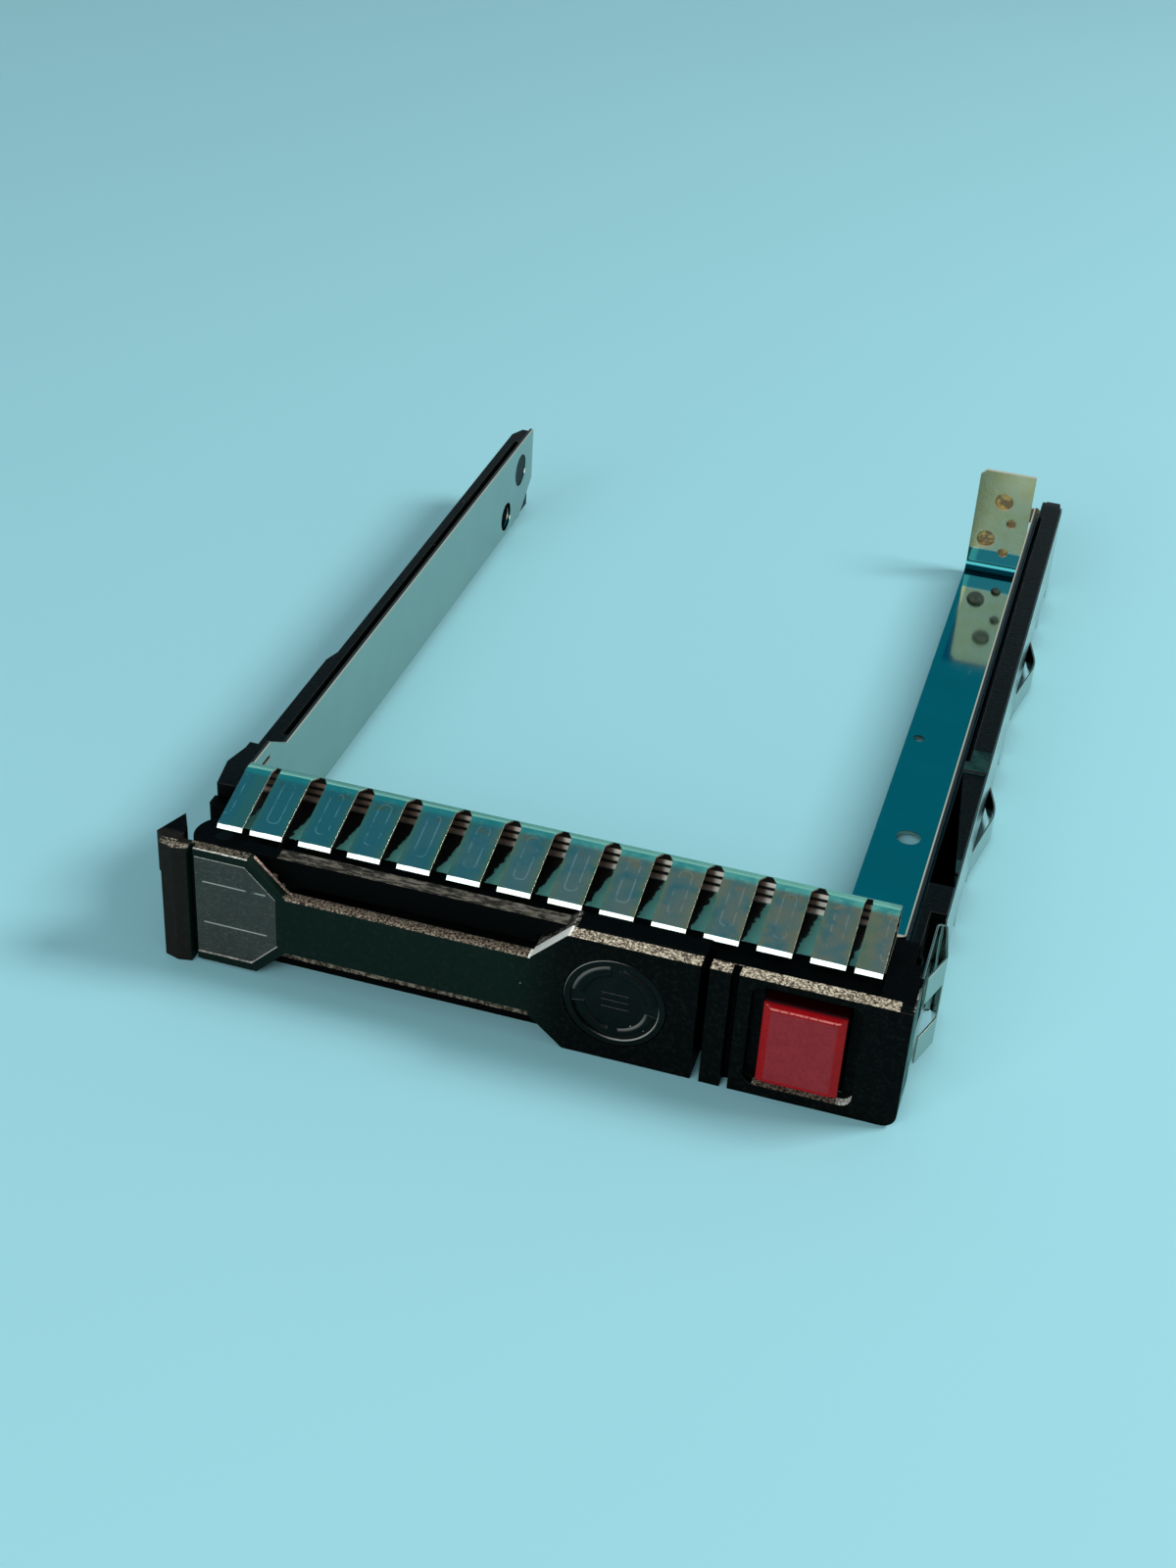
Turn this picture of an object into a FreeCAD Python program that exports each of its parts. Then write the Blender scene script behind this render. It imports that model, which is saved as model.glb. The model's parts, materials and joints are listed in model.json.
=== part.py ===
"""Hot swap drive caddy for a 2.5 inch drive, built as an assembly.

A folded stainless carrier holds the drive between two upright walls. A moulded
front frame carries the hinged ejector lever, the sprung release button and the
finger strips that earth the caddy to its bay. Moulded rails guide its two sides.

X runs across the front, Y runs from the front to the rear and Z runs up.
While modelling, Y = 0 is the front face of the lever. Every piece is then moved
so that the origin lies under the middle of the front frame's foot, midway between
the side walls, on the plane that the caddy stands on. All sizes are in millimetres.
"""
import FreeCAD, Part
import math
import os

Vector = FreeCAD.Vector

# ---------------------------------------------------------------- driving sizes
# The drive that the carrier holds, and its standard screw positions.
drive_width = 69.85
drive_length = 100.2
drive_side_gap = 0.275
drive_front_gap = 0.2
drive_screw_from_end = 14.0
drive_screw_pitch = 76.6
drive_screw_up = 3.0
drive_hole_radius = 2.0

# Fits between pieces, and how far a cutting form reaches past what it cuts.
running_gap = 0.3
pin_gap = 0.05
seat_gap = 0.1
over = 1.0

# Overall front height, and the heights that hang from it.
front_height = 14.3
wall_drop = 2.0
shelf_drop = 1.45
ledge_drop = 1.0
shelf_thick = 1.55

# Folded carrier sheet.
sheet = 0.5
sheet_bend = 1.0
wall_front = 13.2
seat_top = 0.8
left_foot = 1.1
left_wall_short = 2.8
left_step_rise = 0.6
left_step_long = 6.8
left_step_slope = 4.2
left_end_cut = 5.4
left_end_cut_rise = 3.7
flange_width = 8.0
tab_gap = 2.4
tab_bend = 1.6
tab_width = 7.5
tab_rise = 1.5
tab_corner = 0.7

# Front frame and its face.
front_cover = 2.7
side_step = 0.4
lip_depth = 1.6
lip_drop = 2.0
foot_bar_front = 2.7
foot_bar_top = 1.9
frame_back_gap = 0.2
face_thick = 1.3

# Ejector lever.
pivot_inset = 4.4
pivot_y = 5.2
pin_radius = 0.9
ear_radius = 3.1
ear_foot_top = 2.3
head_width = 13.2
head_chamfer = 3.7
head_base = 0.4
bar_base = 3.55
bar_drop = 3.7
bar_thick = 1.65
pad_width = 17.0
pad_depth = 4.2
pad_wall = 1.2
pad_base = 0.1
ring_inset = 8.8
ring_radius = 5.2
ring_depth = 0.9

# Post and button housing, from the front's right-hand end.
post_inset = 19.7
post_width = 2.1
post_gap = 0.9
groove_width = 0.8

# Release button.
button_inset = 10.0
button_width = 8.2
button_height = 10.15
button_z = 7.4
button_proud = 1.0
button_bevel = 0.9
button_travel = 1.5

# Finger strips.
strip_sheet = 0.2
finger_count = 14
finger_gap = 1.8
end_finger_width = 2.75
end_finger_gap = 0.85
strip_end_gap = 0.65
strip_base_front = 6.7
knee_y = 5.1
lip_reach = 0.3
lip_fall = 0.45
ridge_back = 0.7
ridge_rise = 3.62
hairpin_fall = 0.1

# Guide rails.
left_rail_width = 1.9
left_block_width = 2.5
left_block_end = 42.5
right_rail_width = 2.95
rail_tail = 1.5
boss_radius = 2.2
boss_from_end = 5.3
boss_from_front = 5.4
left_boss_drop = 4.0

# Flexible circuit.
flex_sheet = 0.15
flex_gap = 0.03
flex_drop = 1.2

# ------------------------------------------------------------- worked out sizes
bay_half = drive_width / 2 + drive_side_gap
wall_mid = bay_half + sheet / 2
wall_outer = bay_half + sheet
wall_back = wall_front + sheet
drive_front = wall_back + drive_front_gap
drive_end = drive_front + drive_length
screw_rear_y = drive_end - drive_screw_from_end
screw_front_y = screw_rear_y - drive_screw_pitch
screw_z = seat_top + drive_screw_up
flange_base = seat_top - sheet
flange_left = bay_half - flange_width
wall_top = front_height - wall_drop
cross_top = front_height - shelf_drop
ledge_top = front_height - ledge_drop
left_end = drive_end - left_wall_short
left_step_top = front_height + left_step_rise
left_step_end = wall_front + left_step_long
tab_face = drive_end + tab_gap
tab_back = tab_face + sheet
tab_top = front_height + tab_rise
front_half = wall_outer + front_cover
frame_side = front_half - side_step
frame_back = wall_front - frame_back_gap
shelf_top = cross_top
shelf_base = shelf_top - shelf_thick
ledge_back = strip_base_front - frame_back_gap
pivot_x = pivot_inset - front_half
pin_hole = pin_radius + pin_gap
head_right = head_width - front_half
bar_top = front_height - bar_drop
post_left = front_half - post_inset
post_right = post_left + post_width
housing_left = post_right + groove_width
pad_right = post_left - post_gap
pad_left = pad_right - pad_width
ring_x = pad_left + ring_inset
ring_z = front_height / 2
button_x = front_half - button_inset
button_left = button_x - button_width / 2
button_right = button_x + button_width / 2
button_base = button_z - button_height / 2
button_top = button_z + button_height / 2
strip_half = bay_half - strip_end_gap
strip_mid_z = shelf_top + (seat_gap + strip_sheet) / 2
ridge_y = wall_front - ridge_back
ridge_z = shelf_top + ridge_rise
hairpin_y = wall_back + seat_gap
right_rail_outer = wall_outer + right_rail_width
right_rail_end = tab_face + rail_tail
left_rail_outer = wall_outer + left_rail_width
left_rail_end = left_end - running_gap
boss_front_y = wall_front + boss_from_front
boss_rear_y = left_end - boss_from_end
left_boss_z = wall_top - left_boss_drop
right_boss_z = wall_top / 2
flex_base = right_boss_z + boss_radius + 2 * running_gap
flex_top = wall_top - flex_drop
datum_y = (foot_bar_front + frame_back) / 2


# ------------------------------------------------------------------ form makers
def put(plane, u, v, w):
    """A point from two drawing coordinates and the height above the drawing."""
    if plane == "plan":
        return Vector(u, v, w)
    if plane == "side":
        return Vector(w, u, v)
    return Vector(u, w, v)


def rounded_corner(before, here, after, radius):
    """Start, middle and end of the arc that rounds one corner."""
    to_before = (before - here).normalize()
    to_after = (after - here).normalize()
    half_angle = to_before.getAngle(to_after) / 2
    reach = radius / math.tan(half_angle)
    middle_way = (to_before + to_after).normalize()
    centre = here + middle_way * (radius / math.sin(half_angle))
    return here + to_before * reach, centre - middle_way * radius, here + to_after * reach


def drawn(plane, points, low, high, radii=0.0):
    """A closed outline with rounded corners, raised from low to high."""
    count = len(points)
    if not isinstance(radii, (list, tuple)):
        radii = [radii] * count
    corners = [put(plane, u, v, low) for u, v in points]
    stops = []
    for index in range(count):
        if radii[index] > 0:
            stops.append(rounded_corner(corners[index - 1], corners[index],
                                        corners[(index + 1) % count], radii[index]))
        else:
            stops.append((corners[index],) * 3)
    edges = []
    for index in range(count):
        start, middle, end = stops[index]
        if radii[index] > 0:
            edges.append(Part.Arc(start, middle, end).toShape())
        follow = stops[(index + 1) % count][0]
        if (follow - end).Length > 1e-6:
            edges.append(Part.LineSegment(end, follow).toShape())
    raise_by = put(plane, 0, 0, high) - put(plane, 0, 0, low)
    return Part.Face(Part.Wire(edges)).extrude(raise_by)


def folded(plane, points, thickness, low, high, bends):
    """A sheet that follows points, with a round bend at each inner point."""
    if not isinstance(bends, (list, tuple)):
        bends = [bends] * (len(points) - 2)
    line = [Vector(u, v, 0) for u, v in points]
    ways = [(line[i + 1] - line[i]).normalize() for i in range(len(line) - 1)]
    outline, radii = [], []
    for side in (1, -1):
        edge, edge_radii = [], []
        for index, spot in enumerate(line):
            before = ways[max(index - 1, 0)]
            after = ways[min(index, len(ways) - 1)]
            normal = Vector(-before.y - after.y, before.x + after.x, 0).normalize()
            stretch = normal.dot(Vector(-before.y, before.x, 0))
            edge.append(spot + normal * (side * thickness / 2 / stretch))
            if 0 < index < len(line) - 1:
                turn = before.x * after.y - before.y * after.x
                inner = math.copysign(1, turn) * side
                edge_radii.append(bends[index - 1] - inner * thickness / 2)
            else:
                edge_radii.append(0.0)
        if side < 0:
            edge.reverse()
            edge_radii.reverse()
        outline += [(spot.x, spot.y) for spot in edge]
        radii += edge_radii
    return drawn(plane, outline, low, high, radii)


def block(x_low, x_high, y_low, y_high, z_low, z_high):
    """A plain block between two corners."""
    return Part.makeBox(x_high - x_low, y_high - y_low, z_high - z_low, Vector(x_low, y_low, z_low))


def rod(radius, start, end):
    """A round rod between two points."""
    along = end - start
    return Part.makeCylinder(radius, along.Length, start, along)


def upright(radius, x, y, low, high):
    """A round rod that stands from low to high."""
    return rod(radius, Vector(x, y, low), Vector(x, y, high))


def rearward(radius, x, z, front, back):
    """A round rod that runs from front to back."""
    return rod(radius, Vector(x, front, z), Vector(x, back, z))


def join(*pieces):
    """Pieces fused into one clean solid."""
    whole = pieces[0]
    for piece in pieces[1:]:
        whole = whole.fuse(piece)
    return whole.removeSplitter()


coil_sides = 6
coil_steps = 8


def coil(radius, wire, height, turns, centre, along):
    """A wire coil of short straight runs that starts at centre and runs along a direction."""
    count = turns * coil_steps
    path = []
    for index in range(count + 1):
        angle = 2 * math.pi * index / coil_steps
        path.append(Vector(radius * math.cos(angle), radius * math.sin(angle), height * index / count))
    first = (path[1] - path[0]).normalize()
    outward = (Vector(1, 0, 0) - first * first.x).normalize()
    across = first.cross(outward)
    section = []
    for index in range(coil_sides + 1):
        angle = 2 * math.pi * index / coil_sides
        spoke = outward * math.cos(angle) + across * math.sin(angle)
        section.append(path[0] + spoke * (wire / 2))
    body = Part.makePolygon(path).makePipeShell([Part.makePolygon(section)], True, False, 1)
    body.Placement = FreeCAD.Placement(centre, FreeCAD.Rotation(Vector(0, 0, 1), along))
    return body


# ---------------------------------------------------------------- carrier sheet
def make_carrier_sheet():
    """Cross wall, both side walls, drive flange and rear tab, folded from one sheet."""
    fold_line = wall_front + sheet / 2
    body = folded("plan", [(-wall_mid, left_end), (-wall_mid, fold_line), (wall_mid, fold_line),
                           (wall_mid, left_step_end)], sheet, flange_base, left_step_top, sheet_bend)
    body = body.cut(left_wall_cuts())
    body = body.cut(block(-bay_half, wall_outer + over, 0, left_end, cross_top, left_step_top + over))
    body = body.cut(block(bay_half - over, wall_outer + over, wall_back, left_end,
                          wall_top, left_step_top + over))
    floor_line = flange_base + sheet / 2
    flange = folded("front", [(flange_left, floor_line), (wall_mid, floor_line), (wall_mid, wall_top)],
                    sheet, wall_back, tab_face - tab_bend, sheet_bend)
    tab_line = tab_face + sheet / 2
    tab = folded("side", [(tab_face - 2 * tab_bend, floor_line), (tab_line, floor_line), (tab_line, tab_top)],
                 sheet, flange_left, flange_left + tab_width, tab_bend)
    clip = [(flange_left - over, tab_top - tab_corner), (flange_left, tab_top - tab_corner),
            (flange_left + tab_corner, tab_top), (flange_left + tab_corner, tab_top + over),
            (flange_left - over, tab_top + over)]
    tab = tab.cut(drawn("front", clip, tab_face - over, tab_back + over))
    body = join(body, flange, tab)
    return body.cut(wall_holes() + vent_slots() + flange_and_tab_holes()).removeSplitter()


def left_wall_cuts():
    """What is cut from the left wall: above its low part, under its edge and off its rear end."""
    far = left_end + over
    above = [(left_step_end, left_step_top), (left_step_end + left_step_slope, wall_top), (far, wall_top),
             (far, left_step_top + over), (left_step_end, left_step_top + over)]
    cut_top = left_foot + left_end_cut_rise
    rear = [(left_end - left_end_cut, 0), (left_end - left_end_cut, left_foot), (left_end, cut_top),
            (far, cut_top), (far, 0)]
    cuts = [drawn("side", outline, -wall_outer - over, -bay_half + over) for outline in (above, rear)]
    return cuts + [block(-wall_outer - over, -bay_half + over, wall_back, far, 0, left_foot)]


step_slot_from_end = 2.6
step_slot_long = 2.2
step_slot_up = 0.7
step_slot_high = 0.6


def wall_holes():
    """Drive screw holes, rail stake holes and rivet holes, and the slot in the left wall's step."""
    holes = []
    for side in (-1, 1):
        spots = [(y, screw_z, drive_hole_radius) for y in (screw_rear_y, screw_front_y)]
        spots += [(y, z, boss_radius + pin_gap) for y, z in boss_spots(side)]
        for y, z, radius in spots:
            holes.append(rod(radius, Vector(side * (bay_half - over), y, z),
                             Vector(side * (wall_outer + over), y, z)))
    for x in rivet_columns:
        holes.append(rearward(rivet_radius + rivet_gap, x, rivet_z, wall_front - over, wall_back + over))
    slot_front = left_step_end - step_slot_from_end
    slot_low = wall_top + step_slot_up
    holes.append(block(-wall_outer - over, -bay_half + over, slot_front, slot_front + step_slot_long,
                       slot_low, slot_low + step_slot_high))
    return holes


vent_inset = 2.7
vent_columns = 6
vent_pitch = 6.6
vent_width = 4.6
vent_height = 2.6
vent_rows = (3.4, 7.6)


def vent_slots():
    """Air slots in the cross wall, behind the finger opening and the lever pad."""
    slots = []
    for column in range(vent_columns):
        left = duct_left + vent_inset + column * vent_pitch
        if left < partition_x < left + vent_width:
            continue
        for low in vent_rows:
            slots.append(block(left, left + vent_width, wall_front - over, wall_back + over,
                               low, low + vent_height))
    return slots


flange_hole_in = 4.0
flange_hole_back = 34.4
flange_hole_radius = 1.4
flange_pin_in = 1.5
flange_pin_back = 55.9
flange_pin_radius = 0.7
tab_holes = ((3.76, 4.3, 1.25), (2.12, 10.2, 1.25), (5.21, 7.4, 0.7), (4.72, 11.9, 0.7))


def flange_and_tab_holes():
    """Holes in the drive flange and contact holes in the rear tab."""
    spots = ((flange_hole_in, flange_hole_back, flange_hole_radius),
             (flange_pin_in, flange_pin_back, flange_pin_radius))
    holes = [upright(radius, flange_left + across, wall_back + back, -over, seat_top + over)
             for across, back, radius in spots]
    for across, down, radius in tab_holes:
        holes.append(rearward(radius, flange_left + across, tab_top - down, tab_face - over, tab_back + over))
    return holes


# ------------------------------------------------------------------ front frame
lip_inset = 3.2
duct_inset = 1.9
lip_end_reach = 3.1
duct_end_reach = 1.4
gusset_wide = 2.5
gusset_foot = 2.4
partition_thick = 2.6
groove_depth = 1.5
face_corner = 1.5
recess_margin_x = 1.35
recess_margin_z = 1.05
recess_corner = 1.2
recess_depth = 1.0
button_gap = 0.2
cavity_front = 3.4
cavity_wall = 1.2
cavity_rear_wall = 0.6
cavity_floor = 0.9
cheek_width = 3.45
clip_pocket_width = 1.4
clip_pocket_base = 7.2
clip_pocket_front = 9.5
ear_arm_in = 1.4
ear_arm_out = 3.0
left_block_deep = 3.4
shoulder_inset = 0.55
shoulder_deep = 1.5
rivet_radius = 0.8
rivet_gap = 0.02
rivet_z = 7.0
rivet_depth = 3.2
rivet_inset = 7.4
leaf_front = 7.7
leaf_width = 2.9
leaf_z = 2.6
leaf_sheet = 0.4
leaf_end_inset = 2.2
leaf_anchor = 3.6
leaf_tab_front = 9.0
leaf_headroom = 2.4
leaf_side_gap = 0.4

lip_left = head_right - lip_inset
lip_right = pad_left + lip_end_reach
duct_left = lip_left + duct_inset
duct_right = pad_left + duct_end_reach
partition_x = duct_right + partition_thick / 2
left_block_front = frame_back - left_block_deep
left_block_right = duct_left + shoulder_inset
pad_room = pad_depth + running_gap
cavity_back = frame_back - cavity_rear_wall
corner_left = front_half - cheek_width
clip_pocket_left = front_half - clip_pocket_width
leaf_back = leaf_front + leaf_width
leaf_right = front_half - leaf_end_inset
latch_screw_x = leaf_right - leaf_anchor / 2
latch_screw_y = (leaf_front + leaf_back) / 2
ear_head_base = shelf_base + running_gap
flange_front = cavity_front + running_gap
rivet_columns = (rivet_inset - front_half, partition_x, (post_left + post_right) / 2)


def make_bezel_frame():
    """Moulded frame behind the lever, with the pivot ears and the button housing."""
    foot = join(block(pivot_x, duct_right, foot_bar_front, frame_back, 0, foot_bar_top),
                block(duct_right, post_left, pad_room, frame_back, 0, foot_bar_top))
    shelf = join(block(duct_left, post_left, pad_room, frame_back, shelf_base, shelf_top),
                 block(duct_left, post_left, pad_room, ledge_back, shelf_base, ledge_top),
                 block(duct_left, pad_left, lip_depth, ledge_back, shelf_base, ledge_top))
    partition = block(duct_right, duct_right + partition_thick, pad_room + lip_depth, frame_back,
                      foot_bar_top, shelf_base)
    frame = join(make_left_block(), *make_ears(), foot, shelf, make_lip(), make_gusset(), partition,
                 make_housing())
    pin_bore = upright(pin_radius, pivot_x, pivot_y, pin_foot, shelf_top + over)
    rivets = [rearward(rivet_radius + rivet_gap, x, rivet_z, frame_back - rivet_depth, frame_back + over)
              for x in rivet_columns]
    leaf_room = block(tongue_left - leaf_side_gap, post_left + over, leaf_front - leaf_side_gap,
                      leaf_back + leaf_side_gap, cavity_floor, leaf_z + leaf_headroom)
    return frame.cut([pin_bore, leaf_room] + rivets).removeSplitter()


def make_lip():
    """Raised lip along the top of the finger opening, sloped at its right end."""
    left = lip_left - lip_depth
    base = front_height - lip_drop
    return drawn("front", [(left, front_height), (lip_right, front_height), (lip_right - lip_drop, base),
                           (left, base)], lip_depth, 2 * lip_depth)


def make_gusset():
    """Sloping web beside the lever's head, which carries the lip's left end."""
    slant = [(lip_left - gusset_wide, front_height), (lip_left, front_height),
             (lip_left + gusset_wide, bar_top), (lip_left + gusset_wide, bar_top - gusset_foot),
             (lip_left + gusset_wide / 2, bar_top - gusset_foot),
             (lip_left - gusset_wide, shelf_top - ledge_drop)]
    left, right = lip_left - 2 * gusset_wide, lip_left + 2 * gusset_wide
    web = drawn("front", slant, lip_depth, left_block_front)
    return web.cut([block(left, right, 2 * lip_depth, left_block_front, ledge_top, front_height + over),
                    block(left, right, ledge_back, left_block_front, shelf_top, front_height + over)])


def make_left_block():
    """Block that ties the ears to the shelf, with a shoulder in front of the left rail."""
    shoulder_x = shoulder_inset - front_half
    inner_x = running_gap - wall_outer
    shoulder_back = left_block_front + shoulder_deep + running_gap
    outline = [(shoulder_x, left_block_front), (left_block_right, left_block_front),
               (left_block_right, frame_back), (inner_x, frame_back), (inner_x, shoulder_back),
               (shoulder_x, shoulder_back)]
    return drawn("plan", outline, 0, shelf_top, [shoulder_inset, 0, 0, 0, 0, 0])


def make_ears():
    """The two ears that hold the lever's pivot pin."""
    ears = []
    for low, high in ((0, ear_foot_top), (ear_head_base, shelf_top)):
        lobe = upright(ear_radius, pivot_x, pivot_y, low, high)
        arm = block(pivot_x - ear_arm_in, pivot_x + ear_arm_out, pivot_y, left_block_front, low, high)
        ears.append(join(lobe, arm))
    return ears


def make_housing():
    """Button housing and the post beside it, with the cavity for the latch."""
    corners = [0, face_corner, 0, 0]
    body = drawn("front", [(post_left, 0), (frame_side, 0), (frame_side, front_height),
                           (post_left, front_height)], 0, frame_back, corners)
    cheek = drawn("front", [(corner_left, 0), (front_half, 0), (front_half, front_height),
                            (corner_left, front_height)], 0, strip_base_front - over, corners)
    body = join(body, cheek).cut(housing_cuts())
    anchor = block(leaf_right - leaf_anchor, leaf_right + leaf_side_gap, leaf_front, leaf_back,
                   cavity_floor, leaf_z)
    return join(body, anchor)


def housing_cuts():
    """Groove, shelf, button recess and bore, latch cavity and clip pocket, as one list."""
    groove = block(post_right, housing_left, -over, groove_depth, -over, front_height + over)
    ledge = block(post_left - over, corner_left, lip_depth, frame_back + over, ledge_top, front_height + over)
    shelf = block(post_left - over, front_half, ledge_back, frame_back + over, shelf_top, front_height + over)
    left, right = button_left - recess_margin_x, button_right + recess_margin_x
    base, top = button_base - recess_margin_z, button_top + recess_margin_z
    recess = drawn("front", [(left, base), (right, base), (right, top), (left, top)],
                   -over, recess_depth, recess_corner)
    bore = block(button_left - button_gap, button_right + button_gap,
                 -over, flange_front + button_travel + running_gap,
                 button_base - button_gap, button_top + button_gap)
    cavity = block(housing_left + cavity_wall, leaf_right + leaf_side_gap, cavity_front, cavity_back,
                   cavity_floor, shelf_base)
    leaf_way = block(post_left - over, housing_left + 2 * cavity_wall, leaf_front - leaf_side_gap,
                     leaf_back + leaf_side_gap, cavity_floor, leaf_z + leaf_headroom)
    pocket = block(clip_pocket_left, front_half, clip_pocket_front, frame_back + over,
                   clip_pocket_base, front_height + over)
    return [groove, ledge, shelf, recess, bore, cavity, leaf_way, pocket]


# ---------------------------------------------------------------- ejector lever
barrel_radius = 2.5
web_half = 2.3
spring_room = 3.0
horn_drop = 4.6
horn_rise = 0.3
horn_reach = 1.1
horn_front = 0.35
horn_deep = 4.75
horn_edge = 1.6
grip_wide = 2.8
grip_lean = 0.45
grip_proud = 0.6
grip_base = 0.05
label_margin = 0.9
label_inset = 3.4
label_depth = 0.45
label_groove = 0.6
bar_rib = 1.6
tongue_in = 0.4
tongue_width = 2.7
tongue_back = 9.8
tongue_base = 4.4
tongue_top = 9.0
hook_drop = 1.1
hook_long = 1.4
hook_slope = 0.7
guide_radius = 3.6
pin_foot = 0.6

barrel_base = ear_foot_top + running_gap
barrel_top = ear_head_base - spring_room
head_top = front_height + pin_gap
label_left = label_inset - front_half
tongue_right = pad_right - tongue_in
tongue_left = tongue_right - tongue_width


def hex_face(left, inset):
    """Front outline of the lever's head, drawn in by inset on its free edges."""
    slope = inset * math.tan(math.radians(22.5))
    low, high = head_base + inset, head_top - inset
    right = head_right - inset
    cut = head_chamfer - slope
    return [(left, low), (right - cut + head_base, low), (right, low + cut - head_base),
            (right, high - cut), (right - cut, high), (left, high)]


def make_ejector_lever():
    """Lever with its label head, finger bar, round pad, pivot barrel and latch tongue."""
    head = drawn("front", hex_face(-front_half, 0.0), 0, face_thick)
    head = head.cut(drawn("front", hex_face(label_left, label_margin), -over, label_depth))
    web = block(pivot_x - web_half, pivot_x + web_half, face_thick - running_gap, pivot_y,
                barrel_base, barrel_top)
    barrel = upright(barrel_radius, pivot_x, pivot_y, barrel_base, barrel_top)
    deep = bar_thick + bar_rib
    bar = drawn("side", [(0, bar_base), (deep, bar_base), (deep, bar_base + bar_rib),
                         (bar_thick, bar_base + bar_rib + running_gap), (bar_thick, bar_top), (0, bar_top)],
                head_right - seat_gap, pad_left + seat_gap, [0.3, 0.3, 0.3, 0, 0.5, 0.5])
    lever = join(head, make_grip(), web, barrel, make_horn(), bar, make_pad(), make_tongue())
    bore = upright(pin_hole, pivot_x, pivot_y, 0, front_height)
    groove = block(label_left - label_groove, label_left, -grip_proud - over, 2 * label_depth, -over,
                   front_height + over)
    return lever.cut([bore, groove]).removeSplitter()


def make_grip():
    """Upright grip edge at the lever's left end, creased down its middle."""
    crease = grip_wide / 2 - front_half
    end = grip_wide - front_half
    outline = [(-front_half - grip_lean, face_thick - label_depth), (-front_half - grip_lean / 2, -seat_gap),
               (crease, -grip_proud), (end, -grip_proud / 2), (end, face_thick), (-front_half, face_thick)]
    return drawn("plan", outline, grip_base, head_top)


def make_horn():
    """Pointed cam at the lever's left end that levers the caddy in and out of its bay."""
    left = -front_half
    outline = [(left, horn_front), (left - horn_reach, horn_front + 2 * label_depth),
               (left + horn_rise, horn_front + horn_deep), (left + horn_edge, horn_front + horn_deep / 2),
               (left + horn_edge, horn_front)]
    return drawn("plan", outline, front_height - horn_drop, front_height + horn_rise)


def make_pad():
    """Hollow pad at the lever's free end, with the seat for the ring lens."""
    outline = [(pad_left + head_chamfer, pad_base), (pad_right, pad_base), (pad_right, front_height),
               (pad_left + head_chamfer, front_height), (pad_left, front_height - head_chamfer),
               (pad_left, head_chamfer - head_base)]
    body = drawn("front", outline, 0, pad_depth)
    middle = (front_height + pad_base) / 2
    hollow = [(x + math.copysign(pad_wall, ring_x - x), z + math.copysign(pad_wall, middle - z))
              for x, z in outline]
    body = body.cut(drawn("front", hollow, face_thick, pad_depth + over))
    boss = rearward(ring_radius, ring_x, ring_z, face_thick - seat_gap, pad_depth)
    lens_seat = rearward(ring_radius + seat_gap, ring_x, ring_z, -over, ring_depth)
    guide_hole = rearward(guide_radius + seat_gap / 2, ring_x, ring_z, 0, pad_depth + over)
    return join(body, boss).cut([lens_seat, guide_hole])


def make_tongue():
    """Latch tongue behind the pad, with a hook under its rear end."""
    hook_base = tongue_base - hook_drop
    profile = [(face_thick, tongue_base), (tongue_back - hook_long, tongue_base),
               (tongue_back - hook_long, hook_base), (tongue_back - hook_slope, hook_base),
               (tongue_back, hook_base + hook_slope), (tongue_back, tongue_top), (face_thick, tongue_top)]
    return drawn("side", profile, tongue_left, tongue_right)


def make_label_plate():
    """Thin label plate that lies in the lever's head."""
    return drawn("front", hex_face(label_left, label_margin + seat_gap), seat_gap, label_depth)


ring_rim = 0.7
ring_dish = 0.25


def make_ring_lens():
    """Round lens in the lever's pad, with a low rim and a dished middle."""
    disc = rearward(ring_radius, ring_x, ring_z, seat_gap / 2, ring_depth)
    return disc.cut(rearward(ring_radius - ring_rim, ring_x, ring_z, -over, ring_dish))


def make_ring_light_guide():
    """Clear guide that carries light from the lamps to the ring lens."""
    return rearward(guide_radius, ring_x, ring_z, ring_depth, pad_depth)


def make_lever_pin():
    """Steel pin through the frame's ears and the lever's barrel."""
    return upright(pin_radius, pivot_x, pivot_y, pin_foot, shelf_top - pin_gap)


kick_wire = 0.45
kick_gap = 0.15
kick_turns = 3


def make_lever_spring():
    """Torsion spring round the pin that kicks the lever open when it is released."""
    low = barrel_top + running_gap + kick_wire / 2
    high = ear_head_base - running_gap - kick_wire / 2
    mean = pin_radius + kick_gap + kick_wire / 2
    leg_x = pivot_x + mean
    body = coil(mean, kick_wire, high - low, kick_turns, Vector(pivot_x, pivot_y, low), Vector(0, 0, 1))
    leg_low = rearward(kick_wire / 2, leg_x, low, pivot_y, left_block_front - rivet_gap)
    leg_high = rearward(kick_wire / 2, leg_x, high, face_thick + kick_wire / 2 + running_gap, pivot_y)
    return join(body, leg_low, leg_high)


# --------------------------------------------------------- release button, latch
stem_half = 2.6
stem_back = 7.0
stem_base = 4.6
stem_top = 10.4
stop_reach = 0.8
stop_drop = 1.2
stop_rise = 0.2
leg_half = 1.6
leg_high = 2.2
ramp_rise = 0.6
ramp_gap = 0.15
screw_head = 1.1
screw_shank = 0.6
screw_head_high = 0.6
screw_slot_half = 0.15


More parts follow.
